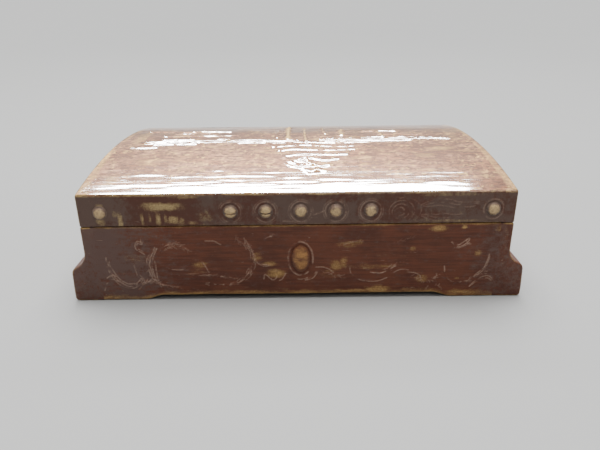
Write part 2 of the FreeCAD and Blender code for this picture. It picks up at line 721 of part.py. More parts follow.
def lid_parts():
    """The wooden parts of the lid and its studs."""
    holes = []
    radius = "Sizes.stud_shank + Sizes.fit_gap"
    for number_of, x in enumerate(stud_places(), start=1):
        start = (x, f"{FRONT} - {OVERSIZE}", S["stud_height"])
        depth = f"Sizes.stud_depth + Sizes.fit_gap + {OVERSIZE}"
        holes.append(rod(f"stud_hole_{number_of}", radius, start, depth, "Y"))
    front = cut("lid_front_rail", lid_rail("lid_front_rail_blank", FRONT, S["front_wall"], 1), holes)
    blank = lid_rail("lid_back_rail_blank", BACK, S["back_wall"], -1)
    back = cut("lid_back_rail", blank, back_tools("lid", 1))
    ends = [lid_end("lid_left_end", -1), lid_end("lid_right_end", 1)]
    reach = f"{HALF} - Sizes.end_lip"
    low, high = f"({FRONT} + Sizes.rail_lip)", f"({BACK} - Sizes.rail_lip)"
    panel = arched_sheet("lid_top_panel", reach, low, high, ARCH, ARCH_INSIDE)
    studs = [stud(f"stud_{number_of}", x) for number_of, x in enumerate(stud_places(), start=1)]
    return [front, back, *ends, panel, *studs]


# ---------------------------------------------------------------- linings and inside


LINED_X = f"({INNER} - Sizes.lining)"
LINED_FRONT = f"({FRONT_INNER} + Sizes.lining)"
LINED_BACK = f"({BACK_INNER} - Sizes.lining)"


def wall_linings():
    """Four velvet-covered cards inside the base."""
    height = (FLOOR, "Sizes.base_height - Sizes.lining_drop")
    across = (LINED_FRONT, LINED_BACK)
    along = (f"-{INNER}", INNER)
    return [
        block("front_wall_lining", along, (FRONT_INNER, LINED_FRONT), height),
        block("back_wall_lining", along, (LINED_BACK, BACK_INNER), height),
        block("left_wall_lining", (f"-{INNER}", f"-{LINED_X}"), across, height),
        block("right_wall_lining", (LINED_X, INNER), across, height),
    ]


def lid_linings():
    """Pad under the lid panel and four velvet-covered cards round it."""
    pad_reach = f"{INNER} - Sizes.soft_gap"
    low, high = f"({FRONT_INNER} + Sizes.soft_gap)", f"({BACK_INNER} - Sizes.soft_gap)"
    outer = f"({ARCH_INSIDE} - Sizes.fit_gap)"
    cushion = arched_sheet("lid_lining_pad", pad_reach, low, high, outer, ARCH_PAD)
    foot = f"({LID_FOOT} + Sizes.lining_drop)"
    top = f"({arch(ARCH_PAD, FRONT_INNER)} - Sizes.soft_gap)"
    along = (f"-{INNER}", INNER)
    made = [
        cushion,
        block("lid_front_lining", along, (FRONT_INNER, LINED_FRONT), (foot, top)),
        block("lid_back_lining", along, (LINED_BACK, BACK_INNER), (foot, top)),
    ]
    under = f"({ARCH_PAD} - Sizes.soft_gap)"
    for name, side in (("lid_left_lining", -1), ("lid_right_lining", 1)):
        card = body(name)
        points = [
            (LINED_FRONT, foot),
            (LINED_BACK, foot),
            (LINED_BACK, arch(under, LINED_BACK)),
            (LINED_FRONT, arch(under, LINED_FRONT)),
        ]
        start = f"{side} * {INNER}"
        sketch = outline(card, name + "_face", "YZ_Plane", start, points, {2: (under, "right")})
        pad(card, sketch, S["lining"], side < 0)
        made.append(card)
    return made


def inside():
    """Dividers, floor pads and ring rolls."""
    ring_left = f"({LINED_X} - Sizes.ring_bay)"
    cross_left = f"({ring_left} - Sizes.divider_board)"
    height = (FLOOR, S["divider_top"])
    half = "Sizes.divider_board / 2"
    along = (f"{MIDDLE} - {half}", f"{MIDDLE} + {half}")
    made = [
        block("cross_divider", (cross_left, ring_left), (LINED_FRONT, LINED_BACK), height),
        block("long_divider", (f"-{LINED_X}", cross_left), along, height),
    ]
    gap = S["soft_gap"]
    pad_x = (f"-{LINED_X} + {gap}", f"{cross_left} - {gap}")
    pad_z = (FLOOR, f"{FLOOR} + Sizes.pad_height")
    front = (f"{LINED_FRONT} + {gap}", f"{along[0]} - {gap}")
    back = (f"{along[1]} + {gap}", f"{LINED_BACK} - {gap}")
    made.append(block("front_floor_pad", pad_x, front, pad_z))
    made.append(block("back_floor_pad", pad_x, back, pad_z))
    pitch = "(Sizes.ring_bay / Sizes.ring_rolls)"
    radius = f"({pitch} / 2 - {gap} / 2)"
    length = f"{LINED_BACK} - {LINED_FRONT} - 2 * {gap}"
    for number_of in range(int(number(S["ring_rolls"]))):
        x = f"{ring_left} + ({number_of} + 0.5) * {pitch}"
        start = (x, f"{LINED_FRONT} + {gap}", f"{FLOOR} + {radius}")
        made.append(rod(f"ring_roll_{number_of + 1}", radius, start, length, "Y"))
    return made


# ---------------------------------------------------------------- build, check and write


def main():
    """Build every sub-part, check it and write it to parts/."""
    subparts = base_boards() + hinges() + lid_parts() + wall_linings() + lid_linings() + inside()
    doc.recompute()
    for thing in doc.Objects:
        if any(word in thing.State for word in ("Invalid", "Error")):
            raise RuntimeError(f"{thing.Label} failed: {thing.State}")
    os.makedirs("parts", exist_ok=True)
    for thing in subparts:
        shape = thing.Shape
        if shape.isNull() or not shape.isValid() or not shape.Solids:
            raise RuntimeError(f"{thing.Label} has no valid solid")
        shape.exportStep(f"parts/{thing.Label}.step")
        box = shape.BoundBox
        print(
            f"{thing.Label:28s} {len(shape.Solids)} solids {shape.Volume:10.1f} mm3  "
            f"X {box.XMin:8.2f} {box.XMax:8.2f}  Y {box.YMin:8.2f} {box.YMax:8.2f}  "
            f"Z {box.ZMin:7.2f} {box.ZMax:7.2f}"
        )
    print(len(subparts), "sub-parts")


main()
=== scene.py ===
"""The look of a lidded jewelry box: oxblood lacquer over carved boards, worn gilding, aged brass and velvet.

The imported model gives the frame, the sizes and the bodies.  Shapes are worked out in millimetres and
written in metres.  X runs along the box, Y from front to back and Z up.
"""

import logging
import math
from dataclasses import dataclass
from enum import Enum
from typing import Optional, Sequence

import bmesh
import bpy
import numpy as np
from mathutils import Matrix, Vector


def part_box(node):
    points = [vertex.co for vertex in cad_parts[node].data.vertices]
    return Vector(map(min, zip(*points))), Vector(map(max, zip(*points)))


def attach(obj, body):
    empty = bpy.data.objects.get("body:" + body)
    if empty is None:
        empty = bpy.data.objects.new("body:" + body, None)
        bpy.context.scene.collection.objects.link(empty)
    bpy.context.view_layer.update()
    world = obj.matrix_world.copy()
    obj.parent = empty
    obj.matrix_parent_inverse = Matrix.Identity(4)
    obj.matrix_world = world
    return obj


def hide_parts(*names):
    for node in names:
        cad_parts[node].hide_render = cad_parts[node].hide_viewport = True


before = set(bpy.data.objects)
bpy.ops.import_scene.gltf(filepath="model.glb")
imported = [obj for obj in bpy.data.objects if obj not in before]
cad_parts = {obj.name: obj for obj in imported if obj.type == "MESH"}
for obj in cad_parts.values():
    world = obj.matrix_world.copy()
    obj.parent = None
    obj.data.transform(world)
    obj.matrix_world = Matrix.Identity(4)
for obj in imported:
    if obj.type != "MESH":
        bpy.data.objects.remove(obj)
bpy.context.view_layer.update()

LOG = logging.getLogger("jewelry_box")
MM = 0.001  # metres in a millimetre
JOIN = 1e-4  # points closer than this, in millimetres, are one point
CREASE = 38.0  # degrees past which an edge stays sharp
Array = np.ndarray
Point = tuple[float, float]
Place = tuple[float, float, float]
Colour = tuple[float, float, float]
Material = bpy.types.Material
Piece = bpy.types.Object
Socket = bpy.types.NodeSocket


class Body(Enum):
    """The moving body that a piece belongs to."""

    BASE = "base"
    LID = "lid"


# ---------------------------------------------------------------- shaping in numbers


def lattice(ix: Array, iy: Array, seed: int) -> Array:
    """Repeatable random value for each cell of a lattice.

    Args:
        ix: Cell numbers along the first direction.
        iy: Cell numbers along the second direction.
        seed: Number that picks the pattern.

    Returns:
        Values from 0 to 1.
    """
    mask = np.int64(0xFFFFFFFF)
    mixed = (ix * 374761393 + iy * 668265263 + seed * 144665123) & mask
    mixed = ((mixed ^ (mixed >> 13)) * 1274126177) & mask
    return ((mixed ^ (mixed >> 16)) & mask).astype(float) / float(mask)


def mottle(a: Array, b: Array, pitch: Point, seed: int, octaves: int = 3) -> Array:
    """Smooth cloudy pattern over two coordinates.

    Args:
        a: First coordinate in millimetres.
        b: Second coordinate in millimetres.
        pitch: Size of the largest cloud along each coordinate.
        seed: Number that picks the pattern.
        octaves: How many finer patterns are added.

    Returns:
        Values from 0 to 1.
    """
    total, weight = np.zeros(np.broadcast(a, b).shape), 0.0
    for octave in range(octaves):
        scale = 2.0**octave
        u, v = a / pitch[0] * scale + 0.37 * octave, b / pitch[1] * scale + 0.71 * octave
        iu, iv = np.floor(u).astype(np.int64), np.floor(v).astype(np.int64)
        fu, fv = u - iu, v - iv
        fu, fv = fu * fu * (3 - 2 * fu), fv * fv * (3 - 2 * fv)
        low = lattice(iu, iv, seed) * (1 - fu) + lattice(iu + 1, iv, seed) * fu
        high = lattice(iu, iv + 1, seed) * (1 - fu) + lattice(iu + 1, iv + 1, seed) * fu
        total += (low * (1 - fv) + high * fv) / scale
        weight += 1.0 / scale
        seed += 17
    return total / weight


def cloud_at(a: float, b: float, pitch: Point, seed: int) -> float:
    """Cloudy pattern at one place."""
    return float(mottle(np.array(a), np.array(b), pitch, seed))


def uneven(a: Array, b: Array, pitch: Point, seed: int, octaves: int, depth: float) -> Array:
    """Cloudy pattern of a given depth, half above zero and half below."""
    return (mottle(a, b, pitch, seed, octaves) - 0.5) * depth


def ramp(value: Array, low: float, high: float) -> Array:
    """Smooth step from 0 at low to 1 at high."""
    t = np.clip((value - low) / (high - low), 0.0, 1.0)
    return t * t * (3 - 2 * t)


def roundover(distance: Array, radius: Array) -> Array:
    """How far a rounded arris falls back at a distance from the sharp edge that it replaces."""
    short = np.clip(radius - distance, 0.0, radius)
    return radius - np.sqrt(np.maximum(radius**2 - short**2, 0.0))


def stops(low: float, high: float, pitch: float, edge: float = 1.2, fine: int = 6) -> Array:
    """Lines between two limits, evenly spaced but closer together near both ends.

    Args:
        low: First line.
        high: Last line.
        pitch: Spacing away from the ends.
        edge: Width of the stretch at each end with closer lines.
        fine: Number of lines in that stretch.

    Returns:
        The places of the lines.
    """
    near = edge * (np.arange(fine) / fine) ** 1.6
    count = max(2, int(round((high - low - 2 * edge) / pitch)) + 1)
    middle = np.linspace(low + edge, high - edge, count)
    return np.concatenate([low + near, middle, (high - near)[::-1]])


def smooth_path(points: Sequence[Point], steps: int = 6) -> Array:
    """Curve through a few points.

    Args:
        points: Points in millimetres.
        steps: Pieces between one point and the next.

    Returns:
        Points along the curve.
    """
    p = np.array(points, float)
    if len(p) < 3:
        return p
    p = np.vstack([2 * p[0] - p[1], p, 2 * p[-1] - p[-2]])
    made = []
    for i in range(1, len(p) - 2):
        for t in np.arange(steps) / steps:
            made.append(
                0.5
                * (
                    2 * p[i]
                    + (p[i + 1] - p[i - 1]) * t
                    + (2 * p[i - 1] - 5 * p[i] + 4 * p[i + 1] - p[i + 2]) * t**2
                    + (3 * p[i] - p[i - 1] - 3 * p[i + 1] + p[i + 2]) * t**3
                )
            )
    return np.array([*made, p[-2]])


def distance_to(path: Array, a: Array, b: Array) -> Array:
    """Distance from each place to a path of straight runs.

    Args:
        path: Points along the path.
        a: First coordinate of each place.
        b: Second coordinate of each place.

    Returns:
        The distances.
    """
    best = np.full(a.shape, 1e9)
    for (ax, ay), (bx, by) in zip(path[:-1], path[1:]):
        dx, dy = bx - ax, by - ay
        length = dx * dx + dy * dy + 1e-12
        t = np.clip(((a - ax) * dx + (b - ay) * dy) / length, 0.0, 1.0)
        best = np.minimum(best, (a - ax - t * dx) ** 2 + (b - ay - t * dy) ** 2)
    return np.sqrt(best)


def close_to(path: Array, margin: float, a: Array, b: Array) -> Array:
    """Which places lie within a margin of the box round a path."""
    low, high = path.min(0) - margin, path.max(0) + margin
    return (a > low[0]) & (a < high[0]) & (b > low[1]) & (b < high[1])


def arc(centre: Point, radius: float, start: float, end: float, count: int) -> list[Point]:
    """Points along an arc between two angles in degrees."""
    turns = np.radians(np.linspace(start, end, count))
    return [(centre[0] + radius * math.cos(turn), centre[1] + radius * math.sin(turn)) for turn in turns]


def places(x: Array, y: Array, z: Array) -> Array:
    """Points with these coordinates, spread over one grid."""
    return np.stack(np.broadcast_arrays(x, y, z), 2)


# ---------------------------------------------------------------- sizes


def room(node: str) -> tuple[Vector, Vector]:
    """Lowest and highest corner, in millimetres, of the room that a node holds."""
    low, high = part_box(node)[:2]
    return low / MM, high / MM


@dataclass(frozen=True)
class Plan:
    """Main sizes in millimetres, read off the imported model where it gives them."""

    wall: float = room("lid_right_end")[1].x
    inner: float = room("lid_right_end")[0].x
    foot: float = room("right_end_board")[1].x
    front: float = room("front_board")[0].y
    front_in: float = room("front_board")[1].y
    back: float = room("back_board")[1].y
    rim: float = room("front_board")[1].z
    seat: float = room("lid_front_rail")[0].z
    crown: float = room("lid_top_panel")[1].z
    panel_low: float = room("lid_top_panel")[0].y
    panel_high: float = room("lid_top_panel")[1].y
    panel_reach: float = room("lid_top_panel")[1].x
    rise: float = 8.0
    panel: float = 6.0
    apron: float = 3.0
    foot_reach: float = 94.0
    foot_run: float = 38.0
    foot_curve: float = 12.5
    ledge: float = 32.0
    ledge_height: float = 14.0
    cove_share: float = 0.68
    taper: float = 2.4  # how far each end leans in from front to back
    slope_run: float = 2.4  # depth of the slopes behind the hinge line
    slope_angle: float = 50.0

    @property
    def arris(self) -> float:
        """Height of the lid's long edges."""
        return self.crown - self.rise

    @property
    def depth(self) -> float:
        """Depth of the box."""
        return self.back - self.front

    @property
    def middle(self) -> float:
        """Middle of the depth."""
        return (self.front + self.back) / 2

    @property
    def radius(self) -> float:
        """Radius of the lid's arch."""
        half = self.depth / 2
        return (half**2 + self.rise**2) / (2 * self.rise)

    def arch(self, y: Array, drop: float = 0.0) -> Array:
        """Height of the lid's top, or of a curve a little under it, at a place across the depth."""
        radius = self.radius - drop
        return self.crown - self.radius + np.sqrt(radius**2 - (y - self.middle) ** 2)

    def underside(self, distance: Array, reach: float) -> Array:
        """Height of a board's lower edge at a distance from the middle, for feet that start at a reach."""
        return self.apron * (1 - ramp(np.abs(distance), reach - self.foot_curve, reach))

    def inset(self, y: Array) -> Array:
        """How far an end leans in at a place across the depth."""
        return self.taper * (y - self.front) / self.depth


PLAN = Plan()


# ---------------------------------------------------------------- carving


@dataclass
class Skin:
    """What carving does to a surface: its height, worn gilding, bare tooled lines and dusty bloom."""

    height: Array
    wear: Array
    line: Array
    haze: Array

    def coats(self) -> dict[str, Array]:
        """The values that the finishes read."""
        return {"wear": self.wear, "line": self.line, "haze": self.haze}

    def rub(self, amount: Array) -> None:
        """Bare the gilding by at least an amount."""
        self.wear = np.maximum(self.wear, amount)


@dataclass(frozen=True)
class Thread:
    """One or more raised threads drawn along a curve."""

    points: tuple[Point, ...]
    strands: int = 1
    spread: float = 1.3
    width: float = 0.28
    rise: float = 0.16
    bare: float = 0.62
    wander: float = 0.5

    def carve(self, a: Array, b: Array, skin: Skin) -> None:
        """Raise the threads.

        Args:
            a: First coordinate of each place.
            b: Second coordinate of each place.
            skin: The surface, which is changed.
        """
        path = smooth_path(self.points)
        near = close_to(path, 3 * self.width + self.spread * self.strands, a, b)
        if not near.any():
            return
        an, bn = a[near], b[near]
        along = np.gradient(path, axis=0)
        along = along / (np.linalg.norm(along, axis=1)[:, None] + 1e-9)
        across = np.stack([-along[:, 1], along[:, 0]], 1)
        swell = np.sin(np.linspace(0.35, math.pi - 0.35, len(path)))[:, None]
        for strand in range(self.strands):
            offset = (strand - (self.strands - 1) / 2) * self.spread
            drift = uneven(path[:, :1], path[:, 1:], (4.0, 4.0), 31 + strand, 2, 2 * self.wander)
            run = path + across * (offset * swell + drift)
            crest = np.exp(-((distance_to(run, an, bn) / self.width) ** 2))
            broken = ramp(mottle(an, bn, (3.2, 3.2), 5 + strand), 0.30, 0.62)
            skin.height[near] += self.rise * crest * (0.6 + 0.4 * broken)
            skin.line[near] = np.maximum(skin.line[near], self.bare * crest * broken)


@dataclass(frozen=True)
class Garland:
    """Carved wreath: short leaf strokes on both sides of a curve."""

    points: tuple[Point, ...]
    leaf: float = 3.2
    gap: float = 1.7
    splay: float = 26.0
    width: float = 0.26
    rise: float = 0.16
    bare: float = 0.6
    seed: int = 1

    def carve(self, a: Array, b: Array, skin: Skin) -> None:
        """Raise the leaves.

        Args:
            a: First coordinate of each place.
            b: Second coordinate of each place.
            skin: The surface, which is changed.
        """
        path = smooth_path(self.points, 8)
        steps = np.linalg.norm(np.diff(path, axis=0), axis=1)
        reach = np.concatenate([[0.0], np.cumsum(steps)])
        dice = np.random.default_rng(self.seed)
        for place in np.arange(0.0, reach[-1], self.gap):
            at = np.array([np.interp(place, reach, path[:, axis]) for axis in (0, 1)])
            ahead = np.array([np.interp(place + 0.8, reach, path[:, axis]) for axis in (0, 1)]) - at
            heading = math.atan2(ahead[1], ahead[0] + 1e-9)
            for side in (-1, 1):
                if dice.random() < 0.22:
                    continue
                turn = heading + side * math.radians(self.splay * dice.uniform(0.5, 1.5))
                length = self.leaf * dice.uniform(0.55, 1.15)
                start = at + dice.normal(0.0, 0.25, 2)
                way = np.array([math.cos(turn), math.sin(turn)])
                bend = np.array([-way[1], way[0]])
                middle = start + way * length * 0.5 - bend * side * length * 0.10
                tip = start + way * length
                stroke = Thread(
                    (tuple(start), tuple(middle), tuple(tip)), 1, 0.0, self.width, self.rise,
                    self.bare * dice.uniform(0.4, 1.0), 0.0,
                )
                stroke.carve(a, b, skin)


@dataclass(frozen=True)
class Oval:
    """Raised ring, whole or in part."""

    centre: Point
    radii: Point
    width: float = 0.36
    rise: float = 0.22
    bare: float = 0.5
    span: Point = (0.0, 360.0)

    def carve(self, a: Array, b: Array, skin: Skin) -> None:
        """Raise the ring.

        Args:
            a: First coordinate of each place.
            b: Second coordinate of each place.
            skin: The surface, which is changed.
        """
        turns = np.radians(np.linspace(self.span[0], self.span[1], 17))
        path = tuple(
            (self.centre[0] + self.radii[0] * math.cos(turn), self.centre[1] + self.radii[1] * math.sin(turn))
            for turn in turns
        )
        Thread(path, 1, 0.0, self.width, self.rise, self.bare, 0.2).carve(a, b, skin)


@dataclass(frozen=True)
class Patch:
    """Spot where gilding shows through the lacquer."""

    centre: Point
    radii: Point
    amount: float = 1.0
    rise: float = 0.0
    corner: float = 2.0

    def carve(self, a: Array, b: Array, skin: Skin) -> None:
        """Add the worn spot.

        Args:
            a: First coordinate of each place.
            b: Second coordinate of each place.
            skin: The surface, which is changed.
        """
        ua, ub = (a - self.centre[0]) / self.radii[0], (b - self.centre[1]) / self.radii[1]
        reach = (np.abs(ua) ** self.corner + np.abs(ub) ** self.corner) ** (1 / self.corner)
        reach = reach * (0.70 + 0.60 * mottle(a, b, (4.0, 3.0), 77, 3))
        spot = 1 - ramp(reach, 0.20, 1.60)
        skin.rub(spot * self.amount)
        skin.height += self.rise * spot


@dataclass(frozen=True)
class Ridge:
    """Broad uneven bank of relief along a curve."""

    points: tuple[Point, ...]
    width: float = 1.6
    rise: float = 0.6
    rough: float = 0.5
    gilt: float = 0.0
    seed: int = 3

    def carve(self, a: Array, b: Array, skin: Skin) -> None:
        """Raise the bank.

        Args:
            a: First coordinate of each place.
            b: Second coordinate of each place.
            skin: The surface, which is changed.
        """
        path = smooth_path(self.points)
        near = close_to(path, 4 * self.width, a, b)
        if not near.any():
            return
        an, bn = a[near], b[near]
        ragged = 1 + uneven(an, bn, (7.0, 2.2), self.seed, 3, 2 * self.rough)
        crest = np.exp(-((distance_to(path, an, bn) / (self.width * ragged)) ** 2))
        skin.height[near] += self.rise * crest * (0.75 + 0.5 * mottle(an, bn, (3.0, 1.2), self.seed + 5, 2))
        skin.wear[near] = np.maximum(skin.wear[near], self.gilt * crest)


Mark = Thread | Garland | Oval | Patch | Ridge


def carved(a: Array, b: Array, marks: Sequence[Mark]) -> Skin:
    """Surface that carries a list of marks.

    Args:
        a: First coordinate of each place in millimetres.
        b: Second coordinate of each place in millimetres.
        marks: The marks.

    Returns:
        The carved surface.
    """
    a, b = np.broadcast_arrays(a, b)
    skin = Skin(*(np.zeros(a.shape) for _ in range(4)))
    for mark in marks:
        mark.carve(a, b, skin)
    return skin


# ---------------------------------------------------------------- meshes


def placed(name: str, data: bpy.types.ID) -> Piece:
    """Put a mesh, a light or a camera in the scene.

    Args:
        name: Name of its object.
        data: The mesh, light or camera.

    Returns:
        The object.
    """
    made = bpy.data.objects.new(name, data)
    bpy.context.scene.collection.objects.link(made)
    return made


def finish_mesh(name: str, bm: bmesh.types.BMesh, crease: float = CREASE) -> Piece:
    """Turn a bmesh into an object of the scene, smooth but for its creases and its many-sided caps.

    Args:
        name: Name of the piece.
        bm: The mesh, in millimetres, which is used up.
        crease: Angle in degrees past which an edge stays sharp.

    Returns:
        The object, at the origin, with its place in its mesh.
    """
    bmesh.ops.scale(bm, vec=(MM, MM, MM), verts=bm.verts)
    bmesh.ops.recalc_face_normals(bm, faces=bm.faces)
    for face in bm.faces:
        face.smooth = len(face.verts) <= 4
    mesh = bpy.data.meshes.new(name)
    bm.to_mesh(mesh)
    bm.free()
    mesh.set_sharp_from_angle(angle=math.radians(crease))
    return placed(name, mesh)


def wrapped(name: str, rings: Array, coats: dict[str, Array]) -> Piece:
    """Closed piece made of a grid that is wrapped round a row of rings and capped at both ends.

    Args:
        name: Name of the piece.
        rings: Places in millimetres, one row of points for each ring.
        coats: Values at each point that the finishes read.

    Returns:
        The object.
    """
    rows, columns = rings.shape[:2]
    bm = bmesh.new()
    bmesh.ops.create_grid(bm, x_segments=columns, y_segments=rows - 1, size=1.0)
    layers = {key: bm.verts.layers.float.new(key) for key in coats}
    for vert in bm.verts:
        column = int(round((vert.co.x + 1) / 2 * columns)) % columns
        row = int(round((vert.co.y + 1) / 2 * (rows - 1)))
        vert.co = rings[row, column]
        for key, layer in layers.items():
            vert[layer] = coats[key][row, column]
    bmesh.ops.remove_doubles(bm, verts=bm.verts, dist=JOIN / 10)
    rim = [edge for edge in bm.edges if edge.is_boundary]
    bmesh.ops.holes_fill(bm, edges=rim, sides=0)
    return finish_mesh(name, bm)


def turned(shape: Sequence[Point], sides: int) -> bmesh.types.BMesh:
    """Solid turned about the Y axis.

    Args:
        shape: Its outline, as distances from the axis and places along it.
        sides: Number of steps round the axis.

    Returns:
        The mesh.
    """
    bm = bmesh.new()
    chain = [bm.verts.new((reach, place, 0.0)) for reach, place in shape]
    edges = [bm.edges.new(pair) for pair in zip(chain, chain[1:])]
    bmesh.ops.spin(
        bm, geom=[*chain, *edges], cent=(0, 0, 0), axis=(0, 1, 0), dvec=(0, 0, 0),
        angle=2 * math.pi, steps=sides, use_merge=True, use_duplicate=False,
    )
    bmesh.ops.remove_doubles(bm, verts=bm.verts, dist=JOIN)
    return bm


def slice_across(bm: bmesh.types.BMesh, axis: int, place: float) -> None:
    """Cut new edges through a mesh, square to an axis.

    Args:
        bm: The mesh.
        axis: 0 for X, 1 for Y and 2 for Z.
        place: Where the cut crosses the axis.
    """
    normal = Vector([float(axis == other) for other in range(3)])
    bmesh.ops.bisect_plane(
        bm, geom=[*bm.verts, *bm.edges, *bm.faces], dist=JOIN, plane_co=normal * place, plane_no=normal
    )


def joined(*strips: dict[str, Array]) -> dict[str, Array]:
    """Coats of neighbouring strips, put side by side."""
    return {key: np.concatenate([strip[key] for strip in strips], 1) for key in strips[0]}


def plain_coats(shape: tuple[int, int]) -> dict[str, Array]:
    """Coats of a strip with no carving, gilding or dust."""
    return {key: np.zeros(shape) for key in ("wear", "line", "haze")}


def dress(piece: Piece, body: Body, material: Material, slot: str, *nodes: str,
          crown: Optional[Material] = None) -> None:
    """Give a piece its material and its body, and hide the nodes that it stands for.

    Args:
        piece: The object.
        body: Body that it rides on.
        material: Its material.
        slot: Not used.
        nodes: Nodes of the model that it replaces.
        crown: Material for its part of the lid's top, where it has one: the lighter copy of the lacquer, with
            painted light from above.
    """
    piece.data.materials.append(material)
    if crown is not None:
        piece.data.materials.append(crown)
        # Faces that look up, on the lid's top, take the lighter crown material: painted light from above.
        lowest = (PLAN.arris - 1.0) * MM
        for face in piece.data.polygons:
            lit_from_above = face.normal.z > 0.35
            face.material_index = int(lit_from_above and face.center.z > lowest)
    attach(piece, body.value)
    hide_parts(*nodes)
    LOG.info("%s: %d faces", piece.name, len(piece.data.polygons))


# ---------------------------------------------------------------- materials


class Shading:
    """A material's node tree, with short calls for the nodes that the finishes share."""

    def __init__(self, name: str) -> None:
        """Start a material with one shader.

        Args:
            name: Name of the material.
        """
        self.material = bpy.data.materials.new(name)
        self.material.use_nodes = True
        self.tree = self.material.node_tree
        self.shader = self.tree.nodes["Principled BSDF"]
        self.coords = self.tree.nodes.new("ShaderNodeTexCoord").outputs["Object"]

    def feed(self, node: bpy.types.Node, socket: int | str, value: object) -> None:
        """Link a socket to another, or set its value.

        Args:
            node: Node that the socket is on.
            socket: The socket's name or number.
            value: Another node's output, a number or a colour.
        """
        target = node.inputs[socket]
        if isinstance(value, Socket):
            self.tree.links.new(value, target)
        elif isinstance(value, tuple) and len(value) == 3 and len(target.default_value) == 4:
            target.default_value = (*value, 1.0)
        else:
            target.default_value = value

    def node(self, kind: str, values: dict[int | str, object], **traits: str) -> bpy.types.Node:
        """Add a node.

        Args:
            kind: Its type.
            values: What each of its sockets is fed.
            traits: Its own settings.

        Returns:
            The node.
        """
        made = self.tree.nodes.new(kind)
        for trait, value in traits.items():
            setattr(made, trait, value)
        for socket, value in values.items():
            self.feed(made, socket, value)
        return made

    def surface(self, values: dict[str, object]) -> None:
        """Feed the shader's own sockets."""
        for socket, value in values.items():
            self.feed(self.shader, socket, value)

    def stretched(self, scale: Place) -> Socket:
        """Object coordinates times a scale for each axis."""
        return self.node("ShaderNodeMapping", {"Vector": self.coords, "Scale": scale}).outputs["Vector"]

    def noise(self, scale: float, detail: float = 4.0, coords: Optional[Socket] = None,
              rough: float = 0.6, twist: float = 0.0) -> Socket:
        """Cloudy noise.

        Args:
            scale: Clouds in a metre, before any stretch.
            detail: Number of finer layers.
            coords: Coordinates, or none for the object's own.
            rough: Weight of the finer layers.
            twist: Distortion.

        Returns:
            The noise, from 0 to 1.
        """
        values = {
            "Vector": self.coords if coords is None else coords,
            "Scale": scale,
            "Detail": detail,
            "Roughness": rough,
            "Distortion": twist,
        }
        return self.node("ShaderNodeTexNoise", values).outputs["Fac"]

    def painted(self, name: str) -> Socket:
        """Value that the piece's mesh carries, or 0 where it carries none."""
        return self.node("ShaderNodeAttribute", {}, attribute_name=name).outputs["Fac"]

    def sums(self, kind: str, *values: object) -> Socket:
        """Arithmetic on two or three values."""
        return self.node("ShaderNodeMath", dict(enumerate(values)), operation=kind).outputs[0]

    def step(self, value: Socket, low: float, high: float, top: float = 1.0) -> Socket:
        """Smooth step from 0 at low to a top value at high, which may lie below low."""
        values = {"Value": value, "From Min": low, "From Max": high, "To Max": top}
        return self.node("ShaderNodeMapRange", values, interpolation_type="SMOOTHSTEP").outputs["Result"]

    def blend(self, amount: Socket, first: object, second: object) -> Socket:
        """Mix of two colours."""
        values = {"Factor": amount, 6: first, 7: second}
        return self.node("ShaderNodeMix", values, data_type="RGBA").outputs[2]

    def relief(self, height: Socket, depth: float, strength: float = 1.0) -> None:
        """Bump on top of any bump that the shader already has.

        Args:
            height: Height from 0 to 1.
            depth: Depth of the bump in millimetres.
            strength: Weight of the bump.
        """
        bump = self.node("ShaderNodeBump", {"Strength": strength, "Distance": depth * MM, "Height": height})
        normal = self.shader.inputs["Normal"]
        if normal.is_linked:
            self.feed(bump, "Normal", normal.links[0].from_socket)
        self.feed(self.shader, "Normal", bump.outputs["Normal"])


def darker(colour: Colour, share: float) -> Colour:
    """A colour times a share."""
    return tuple(part * share for part in colour)


